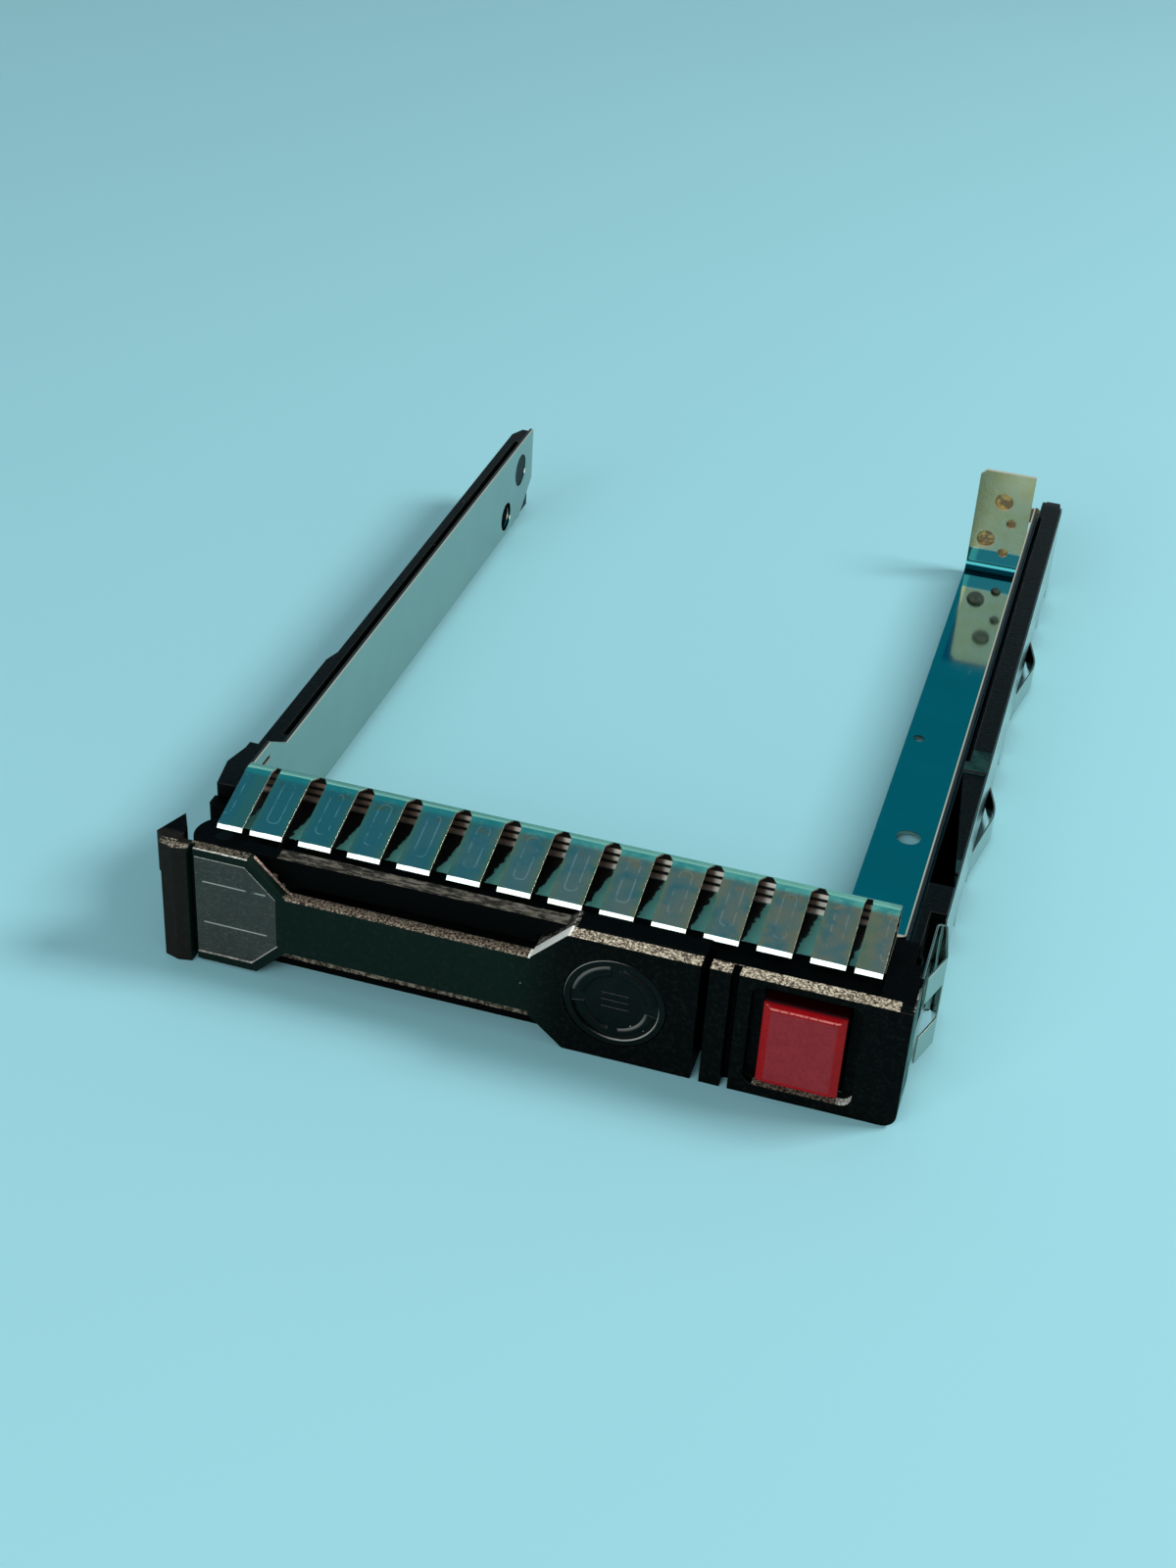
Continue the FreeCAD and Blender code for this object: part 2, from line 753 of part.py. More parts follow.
def make_release_button():
    """Red cap with its guide stem, end stop and latch ramp, moulded in one."""
    cap = block(button_left, button_right, -button_proud, flange_front, button_base, button_top)
    front_edges = [edge for edge in cap.Edges
                   if all(abs(vertex.Y + button_proud) < 1e-6 for vertex in edge.Vertexes)]
    cap = cap.makeChamfer(button_bevel / 2, button_bevel, front_edges)
    stop = block(button_left - stop_reach, button_right + stop_reach, flange_front, flange_front + stop_reach,
                 stem_base - stop_drop, stem_top + stop_rise)
    stem = block(button_x - stem_half, button_x + stem_half, flange_front, stem_back, stem_base, stem_top)
    leg_low = leaf_z + leaf_sheet + ramp_gap
    leg_back = leaf_tab_front - running_gap
    leg = drawn("side", [(flange_front, leg_low), (leg_back - ramp_rise, leg_low),
                         (leg_back, leg_low + ramp_rise), (leg_back, leg_low + leg_high),
                         (flange_front, leg_low + leg_high)],
                button_x - leg_half, button_x + leg_half)
    return join(cap, stop, stem, leg)


def make_latch_leaf():
    """Flat steel catch that holds the lever's hook and bends down when the button is pressed."""
    left = tongue_left + running_gap
    leaf = block(left, leaf_right, leaf_front, leaf_back, leaf_z, leaf_z + leaf_sheet)
    nose = block(left, tongue_right - seat_gap, leaf_front, leaf_front + leaf_sheet,
                 leaf_z, tongue_base - running_gap)
    tab = block(button_x - leg_half, button_x + leg_half, leaf_tab_front, leaf_tab_front + leaf_sheet,
                leaf_z, leaf_z + leaf_sheet + ramp_gap + ramp_rise)
    hole = upright(screw_shank + pin_gap, latch_screw_x, latch_screw_y, leaf_z - over, leaf_z + over)
    return join(leaf, nose, tab).cut(hole)


def make_latch_screw():
    """Small screw that holds the latch leaf down."""
    foot = leaf_z + leaf_sheet
    top = foot + screw_head_high
    head = upright(screw_head, latch_screw_x, latch_screw_y, foot, top)
    slot = block(latch_screw_x - 2 * screw_head, latch_screw_x + 2 * screw_head,
                 latch_screw_y - screw_slot_half, latch_screw_y + screw_slot_half,
                 foot + screw_head_high / 2, top + over)
    shank = upright(screw_shank, latch_screw_x, latch_screw_y, leaf_z, foot)
    return join(head.cut(slot), shank)


return_wire = 0.4
return_radius = 1.6
return_turns = 5
return_z = 8.0


def make_button_spring():
    """Coil spring that returns the button."""
    start = stem_back + seat_gap + return_wire / 2
    end = cavity_back - seat_gap - return_wire / 2
    return coil(return_radius, return_wire, end - start, return_turns,
                Vector(button_x, start, return_z), Vector(0, 1, 0))


# ---------------------------------------------------------------- finger strips
strip_bends = [0.9, 0.45, 0.8, 0.22]
notch_deep = 0.95
notch_half = 0.3


def make_top_finger_strip():
    """Folded earth strip: a base, a hairpin and a row of sloping sprung fingers."""
    knee_z = front_height
    line = [(strip_base_front, strip_mid_z), (hairpin_y, strip_mid_z), (hairpin_y, ridge_z - hairpin_fall),
            (ridge_y, ridge_z), (knee_y, knee_z), (knee_y - lip_reach, knee_z - lip_fall)]
    strip = folded("side", line, strip_sheet, -strip_half, strip_half, strip_bends)
    notch_back = ridge_y + notch_deep
    slots = []
    for left, right in finger_gaps():
        middle = (left + right) / 2
        shape = [(left, 0), (right, 0), (right, ridge_y), (middle + notch_half, notch_back),
                 (middle - notch_half, notch_back), (left, ridge_y)]
        slots.append(drawn("plan", shape, strip_mid_z + strip_sheet, ridge_z + over))
    return strip.cut(slots)


def finger_gaps():
    """Left and right side of each gap between fingers; the two end gaps are narrower."""
    inner = finger_count - 2
    room = 2 * (strip_half - end_finger_width - end_finger_gap)
    width = (room - (inner - 1) * finger_gap) / inner
    left = end_finger_width - strip_half
    gaps = [(left, left + end_finger_gap)]
    left += end_finger_gap
    for _ in range(inner - 1):
        gaps.append((left + width, left + width + finger_gap))
        left += width + finger_gap
    gaps.append((left + width, left + width + end_finger_gap))
    return gaps


side_ridge_reach = 1.8
side_ridge_back = 1.0
side_hairpin_back = 4.1
side_hairpin_wide = 0.9
side_tip_reach = 0.45
side_tip_y = 8.3
side_base_gap = 0.7
side_fingers = ((1.6, 4.9), (9.2, 12.5))
side_bends = [0.4, 0.4, 0.5]


def make_side_finger_strip():
    """Folded earth clip on the right-hand side of the frame."""
    base_x = frame_side + strip_sheet / 2
    ridge_x = frame_side + side_ridge_reach
    side_ridge_y = wall_front - side_ridge_back
    turn_y = wall_front + side_hairpin_back
    line = [(base_x, strip_base_front - side_base_gap), (base_x, turn_y),
            (base_x + side_hairpin_wide, turn_y), (ridge_x, side_ridge_y),
            (base_x + side_tip_reach, side_tip_y)]
    (low, gap_low), (gap_high, high) = side_fingers
    strip = folded("plan", line, strip_sheet, low, high, side_bends)
    slot = block(base_x + strip_sheet, ridge_x + over, 0, side_ridge_y, gap_low, gap_high)
    window = block(base_x - over, base_x + strip_sheet, side_tip_y, side_ridge_y, gap_low, gap_high)
    return strip.cut([slot, window])


rail_strip_back = 5.8
rail_strip_short = 2.6
rail_strip_base = 0.6
rail_strip_top = 11.9
rail_strip_tail = 1.6
rail_strip_turn = 0.1
rail_strip_bend = 1.5
bow_top = 3.7
bow_reach = 1.5
bow_foot = 0.3
bow_gap = 0.5
bow_bend = 9.0
window_top = 2.4
bows = ((0.249, 0.349, 0.405), (0.622, 0.716, 0.778))
strip_windows = ((0.109, 0.150), (0.166, 0.239), (0.456, 0.503), (0.545, 0.617), (0.825, 0.871),
                 (0.902, 0.965))
strip_front = wall_front + rail_strip_back
strip_back = right_rail_end - rail_strip_short


def along_strip(share):
    """Place along the rail spring strip, from 0 at its front to 1 at its rear."""
    return strip_front + share * (strip_back - strip_front)


def make_rail_spring_strip():
    """Spring strip on the right rail, with two bowed leaves and small windows."""
    middle = right_rail_outer + strip_sheet / 2
    plate = folded("plan", [(middle, strip_front), (middle, strip_back),
                            (middle - rail_strip_turn, strip_back + rail_strip_tail)], strip_sheet,
                   rail_strip_base, rail_strip_top, rail_strip_bend)
    low_x, high_x = right_rail_outer - over, right_rail_outer + over
    cuts = [block(low_x, high_x, along_strip(start), along_strip(end), rail_strip_base - over, window_top)
            for start, end in strip_windows]
    cuts += [block(low_x, high_x, along_strip(start), along_strip(end), rail_strip_base - over,
                   bow_top + bow_gap) for start, _, end in bows]
    leaves = []
    for bow in bows:
        start, top, end = (along_strip(share) for share in bow)
        leaves.append(folded("plan", [(middle, start - 2 * bow_foot), (middle, start + bow_foot),
                                      (middle + bow_reach, top), (middle, end - bow_foot),
                                      (middle, end + 2 * bow_foot)], strip_sheet,
                             rail_strip_base, bow_top, [rail_strip_bend, bow_bend, rail_strip_bend]))
    return join(plate.cut(cuts), *leaves)


# ------------------------------------------------------------------ guide rails
rail_front_gap = 0.3
left_rail_base = 0.6
left_rail_skin = 0.8
left_head_long = 8.3
left_head_waist = 0.45
left_head_bulge = 0.25
left_head_top = 6.9
left_head_slope = 1.9
left_neck = 2.1
tail_slope = 0.9
tail_long = 2.0
rail_groove_deep = 2.2
driver_radius = 2.5
channel_deep = 0.3
inner_relief = 0.8
right_relief_front = 35.3
right_step_end = 33.5
right_step_drop = 0.2
right_groove_front = 11.4
right_groove_wide = 2.5
right_groove_drop = 0.6
right_pocket_end = 6.1
right_tail_drop = 0.25
right_tail_long = 2.3
right_tail_narrow = 0.3


def make_left_rail():
    """Moulded left rail with its thick front block and tapered rear end."""
    front = left_block_front + shoulder_deep + 2 * running_gap
    wide = wall_outer + left_block_width
    head_back = front + left_head_long
    outline = [(-wall_outer, front), (left_head_waist - wide, front),
               (-wide - left_head_bulge, front + left_head_long / 2),
               (left_head_waist - wide, head_back - over), (left_head_waist - wide, head_back),
               (-wide, head_back + 2 * over),
               (-wide, left_block_end), (-left_rail_outer, left_block_end + left_neck),
               (-left_rail_outer, left_rail_end - tail_long), (tail_slope - left_rail_outer, left_rail_end),
               (-wall_outer, left_rail_end)]
    rail = drawn("plan", outline, left_rail_base, front_height)
    step_y = wall_front + left_head_top
    low_top = wall_top - right_step_drop
    far = left_rail_end + over
    above = [(step_y, front_height), (step_y + left_head_slope, low_top), (far, low_top),
             (far, front_height + over), (step_y, front_height + over)]
    rail = rail.cut(drawn("side", above, -front_half - over, 0))
    groove = block(-wall_outer - left_rail_skin, -wall_outer, step_y + 2 * left_head_slope + left_neck,
                   left_rail_end - 2 * tail_long, wall_top - rail_groove_deep, wall_top + over)
    return join(rail.cut([groove] + rail_openings(-1)), *rail_bosses(-1))


def make_right_rail():
    """Moulded right rail with the circuit channel on its inner side."""
    front = wall_front + rail_front_gap
    inner = wall_outer + inner_relief
    outline = [(wall_outer, front), (right_rail_outer, front),
               (right_rail_outer, strip_back - rail_strip_turn),
               (right_rail_outer - right_tail_narrow, right_rail_end), (inner, right_rail_end),
               (inner, tab_back + 2 * running_gap), (wall_outer, tab_back + 2 * running_gap)]
    rail = drawn("plan", outline, 0, wall_top)
    return join(rail.cut(right_rail_cuts() + rail_openings(1)), *rail_bosses(1))


def right_rail_cuts():
    """Channel for the circuit, pocket for the side clip, and the steps in the right rail's top."""
    front = wall_front + rail_front_gap - over
    far_x, above = right_rail_outer + over, wall_top + over
    inner = wall_outer + inner_relief
    tail = right_rail_end - right_tail_long
    rear = [(tail, wall_top), (right_rail_end, wall_top - right_tail_drop),
            (right_rail_end + over, wall_top - right_tail_drop), (right_rail_end + over, above),
            (tail, above)]
    channel = block(wall_outer, wall_outer + channel_deep, front, right_rail_end + over,
                    flex_base - running_gap, above)
    gap = block(wall_outer, inner, wall_front + right_relief_front, tab_face - 2 * tail_long,
                wall_top - rail_groove_deep, above)
    pocket = block(clip_pocket_left, far_x, front, wall_front + right_pocket_end + running_gap,
                   clip_pocket_base, above)
    relief = block(frame_side - pin_gap, far_x, front, strip_front, -over, above)
    step = block(wall_outer, far_x, front, wall_front + right_step_end, wall_top - right_step_drop, above)
    groove_front = wall_front + right_groove_front
    groove = block(wall_outer + channel_deep + seat_gap, far_x,
                   groove_front, groove_front + right_groove_wide, wall_top - right_groove_drop, above)
    return [drawn("side", rear, 0, far_x), channel, gap, pocket, relief, step, groove]


def rail_openings(side):
    """Holes through a rail that let a driver reach the drive screws."""
    return [rod(driver_radius, Vector(side * (bay_half - over), y, screw_z),
                Vector(side * (right_rail_outer + over), y, screw_z)) for y in (screw_front_y, screw_rear_y)]


def boss_spots(side):
    """Centres of a rail's two locating bosses."""
    z = left_boss_z if side < 0 else right_boss_z
    return (boss_front_y, z), (boss_rear_y, z)


def rail_bosses(side):
    """Round stakes that pass into the side wall and hold the rail to it."""
    return [rod(boss_radius, Vector(side * (bay_half + seat_gap), y, z),
                Vector(side * (wall_outer + 2 * running_gap), y, z)) for y, z in boss_spots(side)]


def make_frame_rivets():
    """Rivets that fasten the cross wall to the front frame, as one group."""
    return [rearward(rivet_radius, x, rivet_z, frame_back - rivet_depth + seat_gap, wall_back)
            for x in rivet_columns]


# ------------------------------------------------------------------ electronics
board_gap = 0.2
board_end_gap = 0.5
board_y = 6.6
board_thick = 0.8
lamp_half = 0.8
lamp_half_high = 0.6
lamp_spread = 2.0
pad_thick = 0.25
pad_share = 0.85
tail_inset = 0.8
tail_width = 6.1
tail_top_drop = 2.6
tail_base = 2.9
stub_reach = 1.8
stub_front = 3.4
stub_low = 1.6


def make_lamp_board():
    """Small circuit board behind the ring lens."""
    return block(duct_right + partition_thick + board_gap, tongue_left - board_end_gap, board_y,
                 board_y + board_thick, foot_bar_top, shelf_base - running_gap)


def make_lamps():
    """Two surface-mounted lamps on the board."""
    return [block(x - lamp_half, x + lamp_half, board_y - lamp_half, board_y,
                  ring_z - lamp_half_high, ring_z + lamp_half_high)
            for x in (ring_x - lamp_spread, ring_x + lamp_spread)]


def make_flex_circuit():
    """Flexible circuit from the lamp board to the contacts behind the rear tab."""
    behind_wall = wall_front - frame_back_gap / 2
    beside_wall = wall_outer + flex_sheet / 2 + flex_gap
    behind_tab = tab_back + flex_sheet / 2 + flex_gap
    run = folded("plan", [(ring_x, board_y + board_thick), (ring_x, behind_wall), (beside_wall, behind_wall),
                          (beside_wall, behind_tab), (flange_left + 2 * tail_inset, behind_tab)],
                 flex_sheet, flex_base, flex_top, [0.5, 0.5, 0.4])
    tail = block(flange_left + tail_inset, flange_left + tail_inset + tail_width,
                 behind_tab - flex_sheet / 2, behind_tab + flex_sheet / 2, tail_base, tab_top - tail_top_drop)
    stub_x = wall_outer + stub_reach
    stub = folded("plan", [(bay_half, behind_wall), (stub_x, behind_wall), (stub_x, wall_front - stub_front)],
                  flex_sheet, flex_base - stub_low, flex_top, 0.4)
    return join(run, tail, stub)


def make_contact_pads():
    """Gold contact pads on the circuit behind the rear tab, as one group."""
    face = tab_back + flex_sheet + flex_gap
    pads = []
    for across, down, radius in tab_holes:
        x, z, half = flange_left + across, tab_top - down, radius * pad_share
        pads.append(block(x - half, x + half, face, face + pad_thick, z - half, z + half))
    return pads


# ----------------------------------------------------------------------- export
PIECES = {
    "carrier_sheet": make_carrier_sheet,
    "bezel_frame": make_bezel_frame,
    "ejector_lever": make_ejector_lever,
    "label_plate": make_label_plate,
    "ring_lens": make_ring_lens,
    "ring_light_guide": make_ring_light_guide,
    "lever_pin": make_lever_pin,
    "lever_spring": make_lever_spring,
    "release_button": make_release_button,
    "button_spring": make_button_spring,
    "latch_leaf": make_latch_leaf,
    "latch_screw": make_latch_screw,
    "top_finger_strip": make_top_finger_strip,
    "side_finger_strip": make_side_finger_strip,
    "rail_spring_strip": make_rail_spring_strip,
    "left_rail": make_left_rail,
    "right_rail": make_right_rail,
    "frame_rivets": make_frame_rivets,
    "lamp_board": make_lamp_board,
    "lamps": make_lamps,
    "flex_circuit": make_flex_circuit,
    "contact_pads": make_contact_pads,
}


def main():
    """Build every piece, move it to the origin and write it to its own file."""
    os.makedirs("parts", exist_ok=True)
    for name, make in PIECES.items():
        shape = make()
        if isinstance(shape, list):
            shape = Part.makeCompound(shape)
        shape.translate(Vector(0, -datum_y, 0))
        shape.exportStep("parts/" + name + ".step")
        box = shape.BoundBox
        print(f"{name:20s} solids {len(shape.Solids)} volume {shape.Volume:8.1f} "
              f"x {box.XMin:6.1f} {box.XMax:6.1f} y {box.YMin:6.1f} {box.YMax:6.1f} "
              f"z {box.ZMin:5.1f} {box.ZMax:5.1f} valid {shape.isValid()}")


main()
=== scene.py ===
# %% [markdown]
# # A hot swap drive caddy
#
# A caddy is a light tray for one small disk drive. A folded stainless sheet holds the drive, black
# mouldings guide it into its bay, and a lever at the front levers it home or out again. This file
# dresses the finished construction model: every size comes from that model, and Blender adds what the
# eye reads on the real thing, such as soft edges, scuffs, worn corners and mirror-like spring steel.
# Some highlights, reflections and shade are painted into the colours as well.

import json
import math

import bmesh
import bpy
from mathutils import Matrix, Vector

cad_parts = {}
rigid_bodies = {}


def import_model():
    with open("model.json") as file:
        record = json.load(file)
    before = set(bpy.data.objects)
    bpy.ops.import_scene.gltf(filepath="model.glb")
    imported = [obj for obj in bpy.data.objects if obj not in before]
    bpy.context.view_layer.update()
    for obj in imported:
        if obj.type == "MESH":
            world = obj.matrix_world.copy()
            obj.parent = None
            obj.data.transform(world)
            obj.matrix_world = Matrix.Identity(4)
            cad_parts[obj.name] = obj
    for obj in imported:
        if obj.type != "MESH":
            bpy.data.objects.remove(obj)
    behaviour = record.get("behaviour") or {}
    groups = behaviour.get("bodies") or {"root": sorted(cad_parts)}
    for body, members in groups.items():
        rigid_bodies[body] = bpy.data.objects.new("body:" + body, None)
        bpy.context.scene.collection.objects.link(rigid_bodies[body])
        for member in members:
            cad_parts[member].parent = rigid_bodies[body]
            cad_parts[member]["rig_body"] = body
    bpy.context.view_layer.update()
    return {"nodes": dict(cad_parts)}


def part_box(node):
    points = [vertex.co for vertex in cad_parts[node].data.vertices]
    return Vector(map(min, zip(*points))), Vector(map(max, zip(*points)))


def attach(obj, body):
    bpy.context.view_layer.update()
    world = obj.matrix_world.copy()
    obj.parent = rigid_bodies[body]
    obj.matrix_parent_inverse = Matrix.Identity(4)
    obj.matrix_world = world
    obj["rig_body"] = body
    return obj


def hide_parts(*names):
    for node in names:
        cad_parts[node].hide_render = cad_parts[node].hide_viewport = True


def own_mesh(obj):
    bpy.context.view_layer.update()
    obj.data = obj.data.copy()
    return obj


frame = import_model()
MM = 0.001
scene = bpy.context.scene


def box_in_mm(node):
    """Lowest and highest corner of a node of the model, in millimetres."""
    low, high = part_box(node)
    return low / MM, high / MM


# %% [markdown]
# ## Sums that become nodes
#
# A shader is a small calculation that runs at every point of a surface. Wiring that calculation by
# hand is slow to write and slower to read, so one small class wraps a socket and lets Python's own
# signs add the Math nodes. Everything that isn't a sum comes from one method, `node`. The same class
# builds geometry node trees further down.

# %% A socket that can be used in sums
class Flow:
    """One value in a node tree. Signs such as + and * add the Math nodes that work them out."""

    def __init__(self, tree, socket=None):
        self.tree = tree
        self.socket = socket

    def node(self, kind, settings=None, values=None, output=0):
        """Add one node: its settings first, then a number or a link for each named socket."""
        made = self.tree.nodes.new(kind)
        for name, value in (settings or {}).items():
            setattr(made, name, value)
        for name, value in (values or {}).items():
            if isinstance(value, Flow):
                self.tree.links.new(value.socket, made.inputs[name])
            else:
                made.inputs[name].default_value = value
        return Flow(self.tree, made.outputs[output] if made.outputs else None)

    def sum(self, operation, left, right=0.0):
        return self.node("ShaderNodeMath", {"operation": operation}, {0: left, 1: right})

    def __add__(self, other):
        return self.sum("ADD", self, other)

    def __radd__(self, other):
        return self.sum("ADD", other, self)

    def __sub__(self, other):
        return self.sum("SUBTRACT", self, other)

    def __rsub__(self, other):
        return self.sum("SUBTRACT", other, self)

    def __mul__(self, other):
        return self.sum("MULTIPLY", self, other)

    def __rmul__(self, other):
        return self.sum("MULTIPLY", other, self)

    def __truediv__(self, other):
        return self.sum("DIVIDE", self, other)

    def __neg__(self):
        return self.sum("MULTIPLY", self, -1.0)

    def __abs__(self):
        return self.sum("ABSOLUTE", self)


# %% Small helpers for surfaces
def rises(value, low, high):
    """0 below low, 1 above high and a smooth rise between them."""
    return value.node("ShaderNodeMapRange", {"interpolation_type": "SMOOTHSTEP", "clamp": True},
                      {"Value": value, "From Min": low, "From Max": high})


def within(value, low, high, soft):
    """1 between low and high, fading to 0 over soft on each side."""
    return rises(value, low - soft, low) * (1 - rises(value, high, high + soft))


def either(first, second):
    """The larger of two masks."""
    return first.sum("MAXIMUM", first, second)


def grey(level):
    """A neutral colour."""
    return (level, level, level, 1)


def shade(colour, factor):
    """A colour made lighter or darker."""
    return tuple(factor * part for part in colour[:3]) + (1,)


def mixed(factor, first, second):
    """A colour between two colours."""
    return factor.node("ShaderNodeMix", {"data_type": "RGBA"}, {0: factor, 6: first, 7: second}, 2)


def place_in_mm(flow):
    """The point on the surface in millimetres, as one vector and as its three numbers."""
    place = flow.node("ShaderNodeTexCoord", output="Object")
    scaled = flow.node("ShaderNodeVectorMath", {"operation": "SCALE"}, {0: place, "Scale": 1 / MM})
    return scaled, [flow.node("ShaderNodeSeparateXYZ", None, {0: scaled}, axis) for axis in range(3)]


def stretched(place, across, along, up):
    """The place squeezed along each axis, so that noise read there is drawn out."""
    return place.node("ShaderNodeVectorMath", {"operation": "MULTIPLY"},
                      {0: place, 1: (across, along, up)})


def noise(place, size, detail=3.0, roughness=0.55, distortion=0.0):
    """Smooth noise whose blobs are about size millimetres wide."""
    return place.node("ShaderNodeTexNoise", {"noise_dimensions": "3D"},
                      {"Vector": place, "Scale": 1 / size, "Detail": detail, "Roughness": roughness,
                       "Distortion": distortion}, "Fac")


def dust_specks(place, spacing, radius):
    """1 inside tiny round specks that lie about spacing millimetres apart."""
    gap = place.node("ShaderNodeTexVoronoi", None, {"Vector": place, "Scale": 1 / spacing}, "Distance")
    return 1 - rises(gap * spacing, 0.6 * radius, radius)


def facing(flow, axis):
    """How far the surface faces along one axis, from -1 to 1."""
    normal = flow.node("ShaderNodeNewGeometry", output="Normal")
    return flow.node("ShaderNodeSeparateXYZ", None, {0: normal}, axis)


def bump(height, strength, depth):
    """A normal from a height field. depth is in millimetres."""
    return height.node("ShaderNodeBump", None, {"Height": height, "Strength": strength,
                                                "Distance": depth * MM}, "Normal")


def material(name, recipe, **choices):
    """A material whose recipe returns what goes into the shader's sockets."""
    made = bpy.data.materials.new(name)
    made.use_nodes = True
    made.node_tree.nodes.clear()
    flow = Flow(made.node_tree)
    shader = flow.node("ShaderNodeBsdfPrincipled", None, recipe(flow, **choices))
    flow.node("ShaderNodeOutputMaterial", None, {"Surface": shader})
    return made


# %% [markdown]
# ## Black moulded plastic
#
# The mouldings come from a spark-eroded tool, so their skin is a fine leather-like grain that breaks
# up reflections. Handling rubs that skin off in a few places: along the upper front edges, on the back
# of the pad's sloped end and on the ledge under the button. Other places hold painted light instead:
# a highlight under the label, up the head's slanted side and on the front of that sloped end, a teal
# sheen on the frame's right side and in two bands across the right rail, and shade deep in the
# openings. Each place but the last is a small box, and a noise decides speckle by speckle inside it
# whether the patch shows there.

# %% Where the black plastic is rubbed, and where light is painted on it
frame_low, frame_high = box_in_mm("bezel_frame")
lever_low, _ = box_in_mm("ejector_lever")
label_low, label_high = box_in_mm("label_plate")
ring_low, ring_high = box_in_mm("ring_lens")
button_low, button_high = box_in_mm("release_button")
face_y = frame_low.y
top_z = frame_high.z
ring_middle = (ring_low + ring_high) / 2
bar_top_z = 10.6                  # top of the lever's finger bar
pad_left_x = ring_middle.x - 8.8  # where the pad's sloped end starts
slope_wide = 3.7                  # how far that slope reaches to the right
lip_y = face_y + 1.6              # front of the lip over the finger opening
gusset_x = label_high.x + 1.5     # the frame's slanted corner behind the lever's head
grip_x = label_low.x - 0.6        # where the lever's head passes into its grip
cheek_x = label_high.x - 3.0      # where the head's slanted right side starts
patch_edge = 0.12


class Patch:
    """A box in which the skin is rubbed or light is painted on it: how densely, how pale, how coarse,
    and which way it faces.
    """

    def __init__(self, low, high, cover, dark, pale, grain=0.24, drawn_out=1.0, upward=0.45):
        self.low = low
        self.high = high
        self.cover = cover
        self.dark = dark
        self.pale = pale
        self.grain = grain
        self.drawn_out = drawn_out
        self.upward = upward


rust_dark, rust_pale = (0.045, 0.032, 0.023, 1), (0.42, 0.34, 0.26, 1)
bone_dark, bone_pale = (0.080, 0.058, 0.040, 1), (0.80, 0.72, 0.56, 1)
streak_dark, streak_pale = (0.022, 0.021, 0.018, 1), (0.150, 0.140, 0.115, 1)
# scuff colours, used both for real scuffs and for painted highlights
scuff_or_highlight_dark, scuff_or_highlight_pale = (0.34, 0.34, 0.31, 1), (0.92, 0.92, 0.84, 1)
pink_dark, pink_pale = (0.30, 0.17, 0.13, 1), (0.85, 0.64, 0.54, 1)

lever_patches = [
    # the finger bar's upper front edge
    Patch((label_high.x + 0.9, face_y - 1, bar_top_z - 0.4),
          (pad_left_x + 0.1, face_y + 1.7, bar_top_z + 0.4), 0.66, rust_dark, rust_pale),
    # the head: its top, its upper front edge, the grip's top and the rear of its slanted side
    Patch((grip_x, face_y + 0.3, top_z - 0.2), (cheek_x, face_y + 2.0, top_z + 0.4),
          0.58, rust_dark, (0.20, 0.17, 0.13, 1)),
    Patch((grip_x, face_y - 0.2, top_z - 0.25), (cheek_x, face_y + 0.2, top_z + 0.2),
          0.84, scuff_or_highlight_dark, scuff_or_highlight_pale, upward=0.2),
    Patch((lever_low.x - 0.1, face_y - 1, top_z - 0.9), (grip_x - 0.1, face_y + 0.5, top_z + 0.5),
          0.70, rust_dark, (0.40, 0.37, 0.30, 1), upward=0.1),
    Patch((cheek_x, face_y + 1.0, bar_top_z - 0.2), (label_high.x + 1.4, face_y + 1.8, top_z - 0.1),
          0.86, pink_dark, pink_pale, upward=0.3),
    # painted highlights: under the label, and up the slanted side at its lower right
    Patch((label_low.x - 0.3, face_y - 0.2, label_low.z - 0.5),
          (label_high.x - 2.2, face_y + 0.45, label_low.z + 0.35),
          0.92, scuff_or_highlight_dark, scuff_or_highlight_pale, upward=0.2),
    Patch((cheek_x, face_y - 0.2, label_low.z - 0.6),
          (label_high.x + 0.6, face_y + 0.5, label_low.z + 3.8),
          1.00, scuff_or_highlight_pale, grey(1.0), upward=0.2),
    # the pad: its upper front edge, then its sloped end in front, which is a painted highlight, and
    # behind
    Patch((pad_left_x + slope_wide, face_y - 1, top_z - 0.2),
          (ring_high.x + 9, face_y + 1.5, top_z + 0.4), 0.72, bone_dark, bone_pale),
    Patch((pad_left_x - 0.2, face_y - 1, bar_top_z - 0.3),
          (pad_left_x + slope_wide + 0.2, face_y + 1.7, top_z),
          0.93, scuff_or_highlight_pale, grey(1.0), grain=0.9),
    Patch((pad_left_x - 0.2, face_y + 1.7, bar_top_z),
          (pad_left_x + slope_wide + 0.4, face_y + 4.4, top_z),
          0.60, streak_dark, (0.26, 0.25, 0.22, 1), grain=0.5),
]
